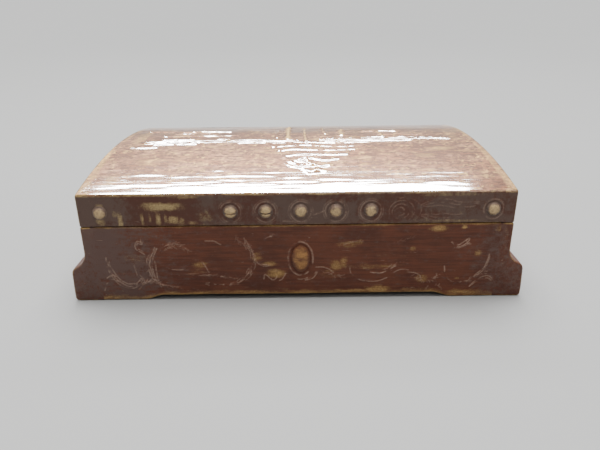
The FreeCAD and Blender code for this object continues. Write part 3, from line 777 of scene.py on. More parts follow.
@dataclass(frozen=True)
class Lacquer:
    """Aged oxblood lacquer over gilding.

    The speck, the crumbs and the brush marks break up both the dusty bloom and the places where the gilding
    shows.  The mesh says how dusty ("haze"), how rubbed ("wear") and how tooled ("line") each place is.
    """

    name: str
    ground: Colour = (0.118, 0.040, 0.022)
    shade: Colour = (0.074, 0.026, 0.016)
    bloom: Colour = (0.100, 0.060, 0.049)
    gilt: Colour = (0.44, 0.27, 0.100)
    thread: Colour = (0.42, 0.29, 0.215)
    grain: Place = (55.0, 900.0, 900.0)
    brush: Place = (130.0, 520.0, 520.0)
    drops: Place = (240.0, 430.0, 430.0)
    scratches: Place = (210.0, 900.0, 1400.0)
    dusty: Point = (2.18, 2.98)
    rubbed: Point = (0.90, 1.72)
    pebble: float = 0.03
    fleck: float = 0.0
    patter: float = 0.0
    nicks: float = 0.35
    gloss: Point = (0.42, 0.58)
    shine: float = 0.30
    tint: Colour = (1.0, 1.0, 1.0)
    flake: float = 0.0
    coat: float = 0.0
    coat_gloss: float = 0.2
    coat_ior: float = 1.5

    def material(self) -> Material:
        """Build the material.

        Returns:
            The material.
        """
        s = Shading(self.name)
        streaks = s.noise(1.0, 4.0, s.stretched(self.grain), 0.65)
        brushed = s.noise(1.0, 5.0, s.stretched(self.brush), 0.72)
        clouds = s.noise(28.0, 5.0, rough=0.62, twist=0.5)
        speck = s.noise(1300.0, 3.0, rough=0.7)
        crumbs = s.noise(260.0, 4.0, rough=0.75)

        tone = s.sums("MULTIPLY_ADD", clouds, 0.9, s.sums("MULTIPLY", streaks, 0.8))
        colour = s.blend(s.step(tone, 0.66, 1.04), self.shade, self.ground)
        dust = s.sums("MULTIPLY_ADD", speck, 0.8, s.sums("MULTIPLY_ADD", brushed, 1.7, s.painted("haze")))
        dust = s.sums("MULTIPLY_ADD", crumbs, 1.6, dust)
        colour = s.blend(s.step(dust, *self.dusty, 0.95), colour, self.bloom)
        if self.patter:
            drops = s.noise(1.0, 4.0, s.stretched(self.drops), 0.7)
            colour = s.blend(s.step(drops, 0.57, 0.43, self.patter), colour, self.shade)
        gilt = s.blend(s.step(speck, 0.38, 0.62), darker(self.gilt, 0.62), self.gilt)
        if self.fleck:
            spots = s.sums("MULTIPLY", s.step(crumbs, 0.54, 0.66), s.step(clouds, 0.34, 0.60, self.fleck))
            colour = s.blend(spots, colour, gilt)
        torn = s.sums("MULTIPLY_ADD", brushed, 0.95, s.painted("wear"))
        torn = s.sums("MULTIPLY_ADD", speck, 0.45, torn)
        bare = s.step(torn, *self.rubbed, 0.90)
        colour = s.blend(bare, colour, gilt)
        scratch = s.noise(1.0, 1.0, s.stretched(self.scratches), 0.5, 1.0)
        drawn = s.sums("MULTIPLY", s.painted("line"), s.step(speck, 0.25, 0.6))
        drawn = s.sums("MAXIMUM", drawn, s.step(scratch, 0.74, 0.80, self.nicks))
        dull = s.sums("MULTIPLY_ADD", clouds, self.gloss[1] - self.gloss[0], self.gloss[0])
        s.surface({
            "Base Color": s.blend(drawn, colour, self.thread),
            "Roughness": s.sums("MULTIPLY_ADD", bare, 0.08, dull),
            "Specular IOR Level": self.shine,
            "Specular Tint": self.tint,
            "Metallic": self.flake,
            "Coat Weight": self.coat,
            "Coat Roughness": self.coat_gloss,
            "Coat IOR": self.coat_ior,
        })
        s.relief(streaks, 0.05)
        s.relief(s.noise(620.0, 3.0, rough=0.7), self.pebble)
        s.relief(speck, 0.015)
        return s.material


@dataclass(frozen=True)
class AgedMetal:
    """Metal under patina."""

    name: str
    bright: Colour
    dark: Colour
    roughness: float
    patina: Point = (0.55, 0.78)

    def material(self) -> Material:
        """Build the material.

        Returns:
            The material.
        """
        s = Shading(self.name)
        clouds = s.noise(420.0, 5.0, rough=0.7)
        scratch = s.noise(1.0, 3.0, s.stretched((90.0, 2600.0, 2600.0)))
        s.surface({
            "Base Color": s.blend(s.step(clouds, *self.patina), self.bright, self.dark),
            "Metallic": 1.0,
            "Roughness": s.sums("MULTIPLY_ADD", clouds, 0.3, self.roughness - 0.1),
        })
        s.relief(clouds, 0.05)
        s.relief(scratch, 0.012)
        return s.material


@dataclass(frozen=True)
class Velvet:
    """Short-pile velvet."""

    name: str
    pile: Colour = (0.115, 0.006, 0.016)
    rubbed: Colour = (0.20, 0.022, 0.034)
    sheen: Colour = (0.75, 0.25, 0.28)

    def material(self) -> Material:
        """Build the material.

        Returns:
            The material.
        """
        s = Shading(self.name)
        brushed = s.noise(60.0, 4.0, twist=1.2)
        pile = s.noise(2600.0, 2.0)
        colour = s.blend(s.step(brushed, 0.35, 0.7), self.pile, self.rubbed)
        s.surface({
            "Base Color": s.blend(s.step(pile, 0.45, 0.8, 0.35), colour, darker(self.pile, 0.4)),
            "Roughness": s.sums("MULTIPLY_ADD", brushed, 0.15, 0.78),
            "Sheen Weight": 0.9,
            "Sheen Roughness": 0.35,
            "Sheen Tint": self.sheen,
            "Specular IOR Level": 0.25,
        })
        s.relief(brushed, 0.25, 0.5)
        s.relief(pile, 0.12)
        return s.material


@dataclass(frozen=True)
class PlainBoard:
    """Bare softwood board."""

    name: str
    early: Colour = (0.36, 0.215, 0.115)
    late: Colour = (0.20, 0.105, 0.050)

    def material(self) -> Material:
        """Build the material.

        Returns:
            The material.
        """
        s = Shading(self.name)
        grain = s.noise(1.0, 6.0, s.stretched((9.0, 260.0, 260.0)), 0.6, 0.4)
        pores = s.noise(1.0, 3.0, s.stretched((120.0, 2400.0, 2400.0)))
        stain = s.noise(22.0, 3.0)
        soiled = darker(self.late, 0.5)
        colour = s.blend(s.step(grain, 0.42, 0.6), self.early, self.late)
        colour = s.blend(s.step(stain, 0.5, 0.75, 0.4), colour, soiled)
        s.surface({
            "Base Color": s.blend(s.step(pores, 0.6, 0.75, 0.5), colour, soiled),
            "Roughness": s.sums("MULTIPLY_ADD", grain, 0.2, 0.62),
        })
        s.relief(grain, 0.08)
        s.relief(pores, 0.05)
        return s.material


@dataclass(frozen=True)
class PaleFloor:
    """Pale studio floor."""

    name: str = "pale_floor"
    colour: Colour = (0.26, 0.26, 0.256)

    def material(self) -> Material:
        """Build the material.

        Returns:
            The material.
        """
        s = Shading(self.name)
        s.surface({
            "Base Color": s.blend(s.noise(3.0, 3.0), darker(self.colour, 0.97), self.colour),
            "Roughness": 0.85,
            "Specular IOR Level": 0.2,
        })
        return s.material


# ---------------------------------------------------------------- ornament


STUDS: tuple[float, ...] = tuple(
    sum(corner.x for corner in room(f"stud_{number}")) / 2 for number in range(1, 8)
)
STUD_HEIGHT: float = sum(corner.z for corner in room("stud_1")) / 2

FRONT_MARKS: tuple[Mark, ...] = (
    Thread(((-113, 29), (-112.8, 23), (-110.7, 17), (-107, 12.3), (-102.6, 9.8), (-98, 10.4),
           (-94, 14.5)), 3, 1.5),
    Garland(((-98, 9), (-92, 12.5), (-88, 13), (-83, 11)), 3.0, 1.5, 34, seed=3),
    Thread(((-83.6, 35), (-86.8, 28.5), (-87.6, 22.5), (-86.8, 17.0), (-84.5, 13.0)),
           4, 1.5, 0.30, 0.2, 0.62, 1.0),
    Garland(((-84.5, 34), (-88.2, 27), (-88.6, 20), (-86.4, 13), (-80, 9.6), (-72, 9)),
            4.0, 2.0, 15, bare=0.5, seed=4),
    Thread(((-88.5, 14), (-91, 12), (-94, 10.3), (-96.5, 7.5))),
    Thread(((-117.5, 7), (-115.5, 11.6), (-112.5, 14.1), (-108, 13.0), (-104, 9.5), (-99.5, 7.8)),
           1, 1.0, 0.34),
    Thread(((-114.8, 15), (-112, 17), (-108.6, 16.6)), 2, 1.3),
    Thread(((-91.7, 41.8), (-91.4, 38), (-94.2, 39), (-95, 35.2), (-92.8, 33.2), (-90.4, 31.2)), 2, 1.1),
    Thread(((-98, 24.5), (-96.8, 20), (-95.5, 16.5), (-93, 14)), 2, 0.9, 0.34, 0.2, 0.4),
    Garland(((-82, 31), (-79.5, 35.4), (-74, 37.6), (-68, 36.4), (-64.5, 32.5)),
            3.2, 1.3, 20, bare=0.42, seed=5),
    Garland(((-80, 33), (-73.5, 35.6), (-67, 33.8)), 2.6, 1.3, 24, bare=0.5, seed=6),
    Thread(((-81, 23), (-74, 20.5), (-66, 20.5))),
    Thread(((-62, 27.5), (-58, 26.5), (-55, 23), (-53.2, 18.5))),
    Thread(((-66, 17.4), (-59, 17.0), (-53, 16.2)), 2, 0.9, 0.3, 0.15, 0.35),
    Garland(((-31, 41), (-28, 35), (-25.8, 28), (-26.6, 21.8), (-30.4, 15.7), (-35.8, 11.2),
            (-42, 9.2)), 3.6, 1.9, 14,
            bare=0.55, seed=7),
    Thread(((-29, 36), (-26.6, 29), (-27.4, 21.8), (-31, 15.7), (-35.8, 11.8), (-41.3, 9.6)),
           3, 1.5, 0.26, 0.16, 0.5, 0.9),
    Garland(((-56, 11), (-48, 10.3), (-40, 10.6)), 3.4, 2.6, 12, bare=0.8, seed=8),
    Garland(((-54, 16.8), (-46, 15.4), (-38, 14.6)), 3.2, 2.6, 14, bare=0.62, seed=9),
    Garland(((-36, 43), (-35, 39.5), (-31, 36)), 3.0, 1.6, 20, bare=0.4, seed=10),
    Thread(((-54, 39.5), (-49, 39), (-45, 36.5)), 1),
    Garland(((-18.6, 40.6), (-14.5, 41.8)), 3.2, 1.2, 16, bare=0.6, seed=11),
    Thread(((-20.5, 13.5), (-19.5, 16.5), (-17, 14.5), (-15.5, 12.6), (-13.5, 13.5), (-12.5, 15.5))),
    Thread(((-11, 12.5), (-9, 14.0), (-7.3, 17.4))),
    Thread(((-24, 25), (-20, 22.5), (-16, 23.5)), 2, 1.1),
    Oval((1.9, 27.0), (7.5, 11.0), 0.42, 0.30, 0.66),
    Thread(((9, 21.5), (16.2, 21.4), (20.7, 18.4), (22.6, 13.7)), 1),
    Thread(((4.5, 12.8), (9, 14.6), (11.5, 18.0)), 2, 1.2),
    Thread(((0, 13.4), (3, 13.2), (6, 14.4))),
    Garland(((15, 17.5), (20, 16.2), (25, 15)), 3.0, 2.0, 30, bare=0.4, seed=12),
    Thread(((31, 20.5), (31.6, 17.7), (34, 14.9), (38, 12.4), (44.5, 11.3), (50, 11.9), (54, 13.4))),
    Thread(((44, 17.4), (49.6, 16.9), (55, 18.9), (60, 22.4)), 1, 1.0, 0.32, 0.2, 0.8),
    Garland(((52, 19), (58, 22), (64, 24)), 3.4, 2.0, 20, bare=0.45, seed=13),
    Thread(((57.8, 16.9), (62.2, 19.0), (66.7, 18.6))),
    Thread(((66, 17.4), (70.5, 17.0), (74, 14.6), (75, 10))),
    Garland(((69, 14), (75, 11.4), (82, 12.5), (86, 16)), 2.6, 1.5, 50, bare=0.62, seed=14),
    Garland(((78, 6), (84, 7.5), (90, 6)), 2.2, 1.8, 60, bare=0.5, seed=15),
    Thread(((25, 34.5), (31, 37.5), (39, 38)), 1, 1.0, 0.3, 0.16, 0.4),
    Garland(((56, 36), (62, 38), (68, 40)), 3.4, 3.0, 20, bare=0.28, seed=16),
    Thread(((88, 21), (88.7, 16.9), (91.8, 11.9), (96.4, 10.0), (102.8, 10.9)), 1, 1.0, 0.34, 0.2, 0.7),
    Thread(((106.5, 13.5), (110.6, 17.2), (113.3, 21.7), (114.6, 28.6)), 2, 1.1, 0.30, 0.2, 0.6),
    Garland(((103, 10.6), (108, 13.5), (113, 17)), 3.2, 1.6, 30, bare=0.55, seed=17),
    Thread(((91, 36.6), (95.5, 34.4), (100, 37.4), (101, 39)), 2, 1.4, 0.28, 0.2, 0.8),
    Thread(((93, 33.4), (97, 33.4), (101.5, 36.4))),
    Thread(((99.5, 38.5), (100.6, 36), (102.4, 35.4))),
    Thread(((104.5, 7), (109.6, 11.5), (115, 13.5), (118.2, 10.5)), 2, 1.4),
    Patch((-16, 24), (5.0, 2.4), 0.55),
    Patch((-13, 17), (7.0, 3.8), 0.66),
    Patch((-24, 28.5), (4.2, 3.6), 0.50),
    Patch((-58.5, 23.5), (5, 3.6), 0.50),
    Patch((-60, 18.5), (7, 2.4), 0.36),
    Patch((-97, 28), (9, 5), 0.26),
    Patch((30, 36.0), (7, 2.6), 0.50),
    Patch((37, 37.5), (3, 2.4), 0.46),
    Patch((23.5, 22.4), (5, 4.0), 0.62),
    Patch((27.5, 24), (3, 4.0), 0.60),
    Patch((20, 17), (9, 4), 0.36),
    Patch((46, 21.5), (18, 2.4), 0.40),
    Patch((68.5, 32.7), (2.4, 2.2), 0.52),
    Patch((60, 29), (16, 7), 0.20),
    Patch((75.5, 13), (4.5, 3.5), 0.52),
    Patch((107.5, 29.5), (2.6, 2.6), 0.52),
    Patch((96.6, 12.6), (2.0, 1.4), 0.55),
    Patch((83.5, 45.8), (5, 2.6), 0.70),
    Patch((97.8, 46.4), (1.8, 1.6), 0.80),
    Patch((120, 45), (4, 3), 0.5),
    Patch((48, 5.5), (11, 2.8), 0.72),
    Patch((36, 4.6), (26, 1.7), 0.62),
    Patch((102, 2.6), (16, 3.4), 0.62),
    Patch((-112, 1.6), (12, 3.0), 0.60),
    Patch((-36, 4.5), (36, 2.2), 0.56),
    Patch((8, 4.4), (22, 1.8), 0.55),
    Patch((70, 4.4), (16, 1.6), 0.5),
)

RAIL_MARKS: tuple[Mark, ...] = (
    *(Oval((x, STUD_HEIGHT - 0.3), (6.0, 6.3), 0.42, 0.26, 0.36) for x in STUDS[1:6]),
    *(Oval((x, STUD_HEIGHT - 0.3), (7.2, 7.4), 0.30, 0.12, 0.20) for x in STUDS[1:6]),
    Oval((STUDS[6], STUD_HEIGHT), (5.8, 6.0), 0.5, 0.25, 0.3),
    Oval((59.4, 56.5), (2.6, 2.4), 0.36, 0.2, 0.40, (20, 330)),
    Oval((59.8, 56.5), (4.8, 4.6), 0.34, 0.2, 0.34, (-60, 250)),
    Oval((60.5, 56.8), (7.2, 6.6), 0.34, 0.18, 0.28, (-50, 200)),
    Oval((62.0, 57.2), (9.6, 7.6), 0.30, 0.16, 0.22, (-40, 110)),
    Thread(((71, 60), (82, 62), (92, 60.5), (104, 61)), 3, 2.2, 0.4, 0.12, 0.2, 0.8),
    Thread(((72, 54), (84, 52.4), (96, 53.5)), 3, 2.0, 0.4, 0.12, 0.2, 0.8),
    Thread(((8.5, 54.5), (12, 55.6), (16, 57.8)), 1, 1.2, 0.3, 0.2, 0.55),
    Thread(((-8, 51), (-2, 50.6), (6, 51.2)), 1, 1.2, 0.3, 0.15, 0.3),
    Patch((-113, 59.5), (3.0, 4.0), 0.80, corner=3.0),
    Patch((-113.4, 52.5), (2.6, 3.0), 0.66, corner=3.0),
    Patch((-104.4, 56.8), (3.0, 2.6), 0.50, corner=3.0),
    Patch((-102.0, 52.0), (1.5, 5.4), 0.78, corner=4.0),
    Patch((-77.0, 60.9), (11.5, 2.7), 0.92, 0.1, 3.0),
    Patch((-89.2, 53.0), (1.2, 5.0), 0.66, 0.1, 4.0),
    Patch((-84.8, 54.0), (0.9, 4.2), 0.46, 0.1, 4.0),
    Patch((-80.0, 53.6), (1.6, 4.4), 0.74, 0.1, 4.0),
    Patch((-75.6, 53.6), (1.2, 3.6), 0.60, 0.1, 4.0),
    Patch((-71.6, 52.6), (3.4, 2.8), 0.80, 0.1, 3.0),
    Patch((-66.6, 51.8), (1.8, 2.6), 0.60, 0.1, 3.0),
    Patch((-60, 50.8), (4, 1.4), 0.55),
    Patch((-53, 54.5), (5.0, 4.6), 0.40, corner=3.0),
    Patch((-63, 67.0), (8, 1.5), 0.66),
    Patch((74, 54), (14, 6), 0.24),
    Patch((95, 58), (12, 6), 0.20),
    Patch((88, 66.6), (26, 1.4), 0.42),
    Patch((92, 50.4), (22, 1.2), 0.45),
)


def waves() -> tuple[Mark, ...]:
    """Ripples of the lid's centre, each nearer the front and shorter than the last, with a whorl in them.

    Returns:
        The ripples, the whorl's rings and the bank at their left.
    """
    made: list[Mark] = []
    for number, depth in enumerate((-1.0, -10.0, -18.5, -28.0, -37.0, -47.0)):
        share = (depth + 60.0) / 60.0
        low, high = 11.0 - 32.0 * share, 11.0 + 40.0 * share
        middle = low + (high - low) * (0.36 + 0.10 * math.sin(2.3 * number))
        bow = 1.5 + 1.0 * math.sin(1.7 * number)
        path = (
            (low, depth - 1.5),
            ((low + middle) / 2, depth + bow),
            (middle, depth + bow * 1.2),
            ((high + middle) / 2, depth - bow * 0.4),
            (high, depth + bow * 0.6),
        )
        made.append(Ridge(path, 1.1, 0.40, 0.7, 0.10, 40 + number))
    turns = np.linspace(-2.6, 1.5, 8)
    for size in (3.0, 6.2, 9.6):
        across, along = 3.0 + size * 1.25 * np.cos(turns), -37.0 + size * 1.15 * np.sin(turns)
        made.append(Ridge(tuple(zip(across, along)), 0.8, 0.22, 0.4, 0.0, 52))
    left = ((-22, 0), (-18, -7), (-13, -17), (-10, -27), (-5, -38), (2, -48), (8, -56))
    made.append(Ridge(left, 1.4, 0.45, 0.7, 0.25, 54))
    return tuple(made)


TOP_MARKS: tuple[Mark, ...] = (
    *waves(),
    Ridge(((-104, 3), (-92, 5), (-78, 4), (-62, 5), (-48, 5.5)), 2.4, 1.0, 0.9, 0.35, 60),
    Ridge(((-96, 9), (-84, 10.5), (-66, 9), (-50, 10)), 1.4, 0.7, 0.9, 0.30, 59),
    Ridge(((-98, -2), (-84, -1), (-70, -1.5)), 1.3, 0.6, 0.8, 0.2, 61),
    Ridge(((-48, 5.5), (-30, 7), (-14, 4), (0, 5)), 1.5, 0.8, 0.7, 0.25, 62),
    Ridge(((-40, 0), (-30, 1), (-20, -1)), 1.1, 0.6, 0.7, 0.2, 58),
    Ridge(((17, 7), (34, 9), (52, 8), (70, 9.5), (92, 9), (108, 6)), 1.1, 0.8, 0.5, 0.35, 63),
    Ridge(((20, 2), (38, 3.4), (60, 3), (80, 4)), 1.0, 0.6, 0.6, 0.3, 64),
    Ridge(((50, 14), (66, 15), (84, 14)), 0.9, 0.4, 0.6, 0.2, 57),
    Ridge(((-112, 42), (-100, 43), (-88, 41)), 1.4, 0.6, 0.8, 0.35, 65),
    Ridge(((-86, 39), (-70, 41), (-50, 38)), 1.5, 0.7, 0.8, 0.35, 66),
    Ridge(((-90, 31), (-74, 33), (-58, 30)), 1.2, 0.5, 0.9, 0.4, 56),
    Ridge(((-96, 22), (-80, 24), (-60, 22), (-44, 24)), 1.4, 0.5, 0.9, 0.5, 67),
    Ridge(((-112, -9), (-104, -10), (-96, -9)), 1.2, 0.6, 0.5, 0.35, 68),
    Ridge(((60, 22), (76, 24), (88, 20)), 1.2, 0.4, 0.8, 0.25, 69),
    Ridge(((-6, 8), (-6.4, 34), (-6, 62)), 1.9, 0.9, 0.8, 0.90, 70),
    Ridge(((7, 0), (6, 20), (6, 52)), 1.1, 0.7, 0.5, 0.75, 71),
    Ridge(((-14, 14), (-14, 30), (-13, 46)), 0.9, 0.5, 0.5, 0.4, 72),
    Ridge(((33, 20), (33, 33), (34, 44)), 2.2, 0.8, 0.8, 0.75, 73),
    Ridge(((21, 26), (20, 38), (20, 56)), 1.2, 0.6, 0.8, 0.55, 74),
    Ridge(((62, 14), (61, 24), (60, 34)), 1.2, 0.6, 0.4, 0.7, 75),
    Ridge(((50, 36), (62, 37), (74, 35)), 1.2, 0.6, 0.7, 0.5, 76),
    Ridge(((5, -36), (9, -43), (13, -50), (12, -55)), 1.8, 0.7, 0.4, 0.55, 77),
    Patch((12, -53), (5, 4), 0.45, 0.35),
    Patch((96, -17), (12, 6), 0.50),
    Patch((83, -31), (8, 5), 0.45),
    Patch((81, -55), (8, 5), 0.45),
    Patch((63, -57), (10, 4), 0.42),
    Patch((-94, -38), (9, 9), 0.45),
    Patch((-58, -40), (6, 5), 0.4),
    Patch((-75, -31), (7, 4), 0.35),
    Patch((-110, -64), (7, 9), 0.5),
    Patch((-112, 20), (6, 30), 0.5),
    Patch((112, 20), (6, 26), 0.4),
    Patch((40, 6), (6, 5), 0.45),
)


# ---------------------------------------------------------------- wooden pieces


@dataclass
class FrontBoard:
    """Front board of the base: a carved face on two feet."""

    pitch: float = 0.4
    marks: tuple[Mark, ...] = FRONT_MARKS
    medal_radii: Point = (5.6, 8.8)
    medal_centre: Point = (2.0, 27.0)

    def build(self, finish: Material) -> Piece:
        """Build and dress the board.

        Args:
            finish: Its material.

        Returns:
            The board.
        """
        x = stops(-PLAN.inner, PLAN.inner, self.pitch, 0.8, 2)[:, None]
        foot = PLAN.underside(x, PLAN.foot_reach)
        z = foot + (PLAN.rim - foot) * stops(0.0, PLAN.rim, self.pitch)[None, :] / PLAN.rim
        skin = carved(x, z, self.marks)
        blank = ramp(PLAN.inner - np.abs(x), 0.0, 2.5)
        blank = blank * ramp(PLAN.rim - z, 1.0, 3.0) * ramp(z - foot, 1.0, 3.0)
        sway = uneven(x, z, (30.0, 9.0), 8, 4, 0.30) + uneven(x, z, (9.0, 1.6), 9, 3, 0.12)
        top_round = 0.55 + 0.7 * mottle(x, x * 0, (11.0, 1.0), 21)
        low_round = 0.7 + 0.9 * mottle(x, x * 0 + 5, (14.0, 1.0), 22)
        fall = roundover(PLAN.rim - z, top_round) + roundover(z - foot, low_round)
        across = (x - self.medal_centre[0]) / self.medal_radii[0]
        along = (z - self.medal_centre[1]) / self.medal_radii[1]
        groove = 0.35 * np.exp(-(((np.hypot(across, along) - 1.04) / 0.09) ** 2))
        y = PLAN.front + fall - (skin.height + sway) * blank + groove
        rubbed = mottle(x, z, (16.0, 4.0), 12)
        skin.rub(np.exp(-((PLAN.rim - z) / 1.1)) * (0.30 + 0.75 * rubbed))
        skin.rub(np.exp(-((z - foot) / 2.2)) * (0.60 + 0.80 * rubbed))
        skin.haze = base_dust(x, z)
        rear = self.rear(x, foot)
        rear_coats = plain_coats(rear.shape[:2])
        rear_coats["wear"][:, :3] = 0.4
        coats = joined(skin.coats(), rear_coats)
        piece = wrapped("front_board_carved", np.concatenate([places(x, y, z), rear], 1), coats)
        dress(piece, Body.BASE, finish, "lacquered_wood", "front_board")
        return piece

    def rear(self, x: Array, foot: Array) -> Array:
        """Rim, inner face and underside of the board.

        Args:
            x: Places along the length.
            foot: Height of the lower edge at each.

        Returns:
            A row of points for each place.
        """
        front, back, rim = PLAN.front, PLAN.front_in, PLAN.rim
        y = np.array([front + 2.5, front + 5.0, back - 0.5, back, back, back, back, front + 5.0, front + 2.5])
        upper = np.array([rim, rim, rim, rim - 0.5, rim * 0.6, rim * 0.3])
        z = np.concatenate([np.broadcast_to(upper, (len(x), len(upper))), np.repeat(foot, 3, 1)], 1)
        return places(x, y, z)


@dataclass
class EndBoard:
    """End board of the base, which swells out into its feet."""

    side: int
    pitch: float = 0.9
    arris: float = 0.9
    toe: float = 2.2
    rim_round: float = 1.0

    def outline(self) -> tuple[Array, Array, Array]:
        """Outline of the board across its length.

        Returns:
            Its points, the way inwards at each, and how much each belongs to the outer face.
        """
        wall, foot, inner, rim = PLAN.wall, PLAN.foot, PLAN.inner, PLAN.rim
        flare = foot - wall
        full = (PLAN.ledge_height**2 + flare**2) / (2 * flare)
        small, large = (1 - PLAN.cove_share) * full, PLAN.cove_share * full
        low = PLAN.ledge - PLAN.ledge_height
        turn = math.degrees(math.asin(min(1.0, PLAN.ledge_height / full)))
        points = [(inner + (foot - self.toe - inner) * share, 0.0) for share in (0.0, 0.3, 0.6, 0.85)]
        points += arc((foot - self.toe, self.toe), self.toe, -90, 0, 7)
        points += [(foot, z) for z in np.linspace(self.toe + 1.0, low, 16)[:-1]]
        points += arc((foot - small, low), small, 0, turn, 9)
        points += arc((wall + large, PLAN.ledge), large, 180 + turn, 180, 13)[1:]
        points += [(wall, z) for z in np.linspace(PLAN.ledge, rim - self.rim_round, 18)[1:]]
        points += arc((wall - self.rim_round, rim - self.rim_round), self.rim_round, 0, 90, 6)[1:]
        points += [(inner + 3.0, rim), (inner, rim)]
        points += [(inner, rim * share) for share in (0.75, 0.5, 0.25)]
        shape = np.array(points)
        along = np.roll(shape, -1, 0) - np.roll(shape, 1, 0)
        along /= np.linalg.norm(along, axis=1)[:, None] + 1e-9
        inward = np.stack([-along[:, 1], along[:, 0]], 1)
        inside = shape[:, 0] < inner + 1e-6
        inward[inside, 0] = 0.0
        upright = np.where(shape[:, 1] > rim - 0.1, -1.0, np.where(shape[:, 1] < 0.1, 1.0, 0.0))
        inward[inside, 1] = upright[inside]
        return shape, inward, (~inside).astype(float)

    def build(self, finish: Material) -> Piece:
        """Build and dress the board.

        Args:
            finish: Its material.

        Returns:
            The board.
        """
        shape, inward, outer = self.outline()
        y = stops(PLAN.front, PLAN.back, self.pitch)[:, None]
        near = np.minimum(y - PLAN.front, PLAN.back - y)
        foot = PLAN.underside(y - PLAN.middle, PLAN.depth / 2 - PLAN.foot_run)
        low = PLAN.ledge - PLAN.ledge_height
        px, pz = (np.broadcast_to(shape[:, axis], (len(y), len(shape))) for axis in (0, 1))
        sway = uneven(y, pz + px, (26.0, 8.0), 14 + self.side, 4, 0.34)
        sway = sway * outer * ramp(near, 0.5, 3.0) * ramp(PLAN.rim - pz, 0.5, 3.0) * ramp(pz, 0.1, 2.0)
        shrink = roundover(near, np.full(near.shape, self.arris)) - sway
        lean = 0.5 * ramp(low - pz, -3.0, 14.0) - PLAN.inset(y)
        x = px + inward[:, 0] * shrink + lean * outer
        z = pz + inward[:, 1] * shrink
        z = np.where(z < low, z + foot * (1 - z / low), z)
        rubbed = mottle(y, pz + 3 * self.side, (15.0, 5.0), 15)
        coats = plain_coats(x.shape)
        coats["wear"] = outer * np.maximum.reduce([
            np.exp(-near / 1.0) * (0.15 + 0.8 * rubbed),
            np.exp(-(PLAN.rim - pz) / 1.2) * (0.35 + 0.85 * rubbed),
            np.exp(-(z - foot) / 2.4) * (0.40 + 0.75 * rubbed),
            np.exp(-(((pz - low - 2.5) / 2.4) ** 2)) * (0.10 + 0.65 * rubbed),
        ])
        coats["wear"][[0, -1]] *= 0.25
        coats["haze"] = base_dust(x * self.side, z)
        name = "right" if self.side > 0 else "left"
        piece = wrapped(f"{name}_end_board_shaped", places(x * self.side, y, z), coats)
        trim_slope(piece, PLAN.rim, -1)
        dress(piece, Body.BASE, finish, "lacquered_wood", f"{name}_end_board")
        return piece


def trim_slope(piece: Piece, height: float, side: int) -> None:
    """Cut a piece along the slope behind the hinge line and close the cut.

    Args:
        piece: The piece, whose mesh is changed.
        height: Height of the edge where the slope starts.
        side: -1 for the base, whose slope falls to the back, and 1 for the lid.
    """
    half_seam = (PLAN.seat - PLAN.rim) / 2
    drop = PLAN.slope_run * math.tan(math.radians(PLAN.slope_angle)) - half_seam
    normal = Vector((0.0, drop, -side * PLAN.slope_run)).normalized()
    bm = bmesh.new()
    bm.from_mesh(piece.data)
    cut = bmesh.ops.bisect_plane(
        bm,
        geom=[*bm.verts, *bm.edges, *bm.faces],
        dist=JOIN * MM,
        plane_co=Vector((0.0, PLAN.back - PLAN.slope_run, height)) * MM,
        plane_no=normal,
        clear_outer=True,
    )
    edges = [item for item in cut["geom_cut"] if isinstance(item, bmesh.types.BMEdge) and item.is_boundary]
    bmesh.ops.holes_fill(bm, edges=edges, sides=0)
    bmesh.ops.recalc_face_normals(bm, faces=bm.faces)
    bm.to_mesh(piece.data)
    bm.free()
    piece.data.set_sharp_from_angle(angle=math.radians(CREASE))


def base_dust(x: Array, z: Array) -> Array:
    """Dusty bloom over the base, heaviest at its left end."""
    spread = 0.78 * ramp(-x, 58.0, 112.0) + 0.42 * ramp(x, 92.0, 122.0) + 0.12
    return spread * (0.35 + 1.1 * mottle(x, z, (16.0, 11.0), 61, 4))


def lid_dust(x: Array, z: Array) -> Array:
    """Dusty bloom over the lid's sides, but for two stretches that were wiped clean.

    Args:
        x: Places along the length in millimetres.
        z: Heights in millimetres.

    Returns:
        The bloom, from 0 to about 1.
    """
    spread = 0.30 + 0.75 * ramp(mottle(x, z, (30.0, 14.0), 28, 4), 0.30, 0.65)
    spread *= 1 - 0.85 * ramp(x, -106.0, -90.0) * ramp(-x, 50.0, 62.0)
    return spread * (1 - 0.55 * ramp(z, 60.0, 66.0) * ramp(x, -10.0, 6.0) * ramp(-x, -48.0, -30.0))


def top_skin(x: Array, y: Array) -> Skin:
    """Relief of the lid's top, which runs on unbroken over the panel, its ends and its front rail.

    Args:
        x: Places along the length in millimetres.
        y: Places across the depth in millimetres.

    Returns:
        The carved surface.
    """
    x, y = np.broadcast_arrays(x, y)
    skin = carved(x, y, TOP_MARKS)
    blank = ramp(PLAN.wall - np.abs(x), 2.0, 6.0)
    blank = blank * ramp(y - PLAN.front, 2.0, 8.0) * ramp(PLAN.back - y, 2.0, 6.0)
    brushed = uneven(x, y, (22.0, 2.6), 81, 3, 0.22) + uneven(x, y, (60.0, 26.0), 82, 2, 0.5)
    skin.height = (skin.height + brushed) * blank
    rubbed = mottle(x, y, (14.0, 3.0), 83)
    edge = np.minimum(y - PLAN.front, PLAN.back - y)
    skin.rub(ramp(np.abs(x), PLAN.wall - 7.5, PLAN.wall - 4.5) * (0.15 + 0.6 * mottle(x, y, (2.2, 26.0), 84)))
    skin.rub(np.exp(-edge / 1.5) * (0.2 + 0.6 * rubbed))
    skin.rub(ramp(rubbed, 0.55, 0.8) * 0.45)
    skin.haze = 0.15 + 0.5 * ramp(mottle(x, y, (24.0, 12.0), 85, 4), 0.36, 0.66)
    return skin


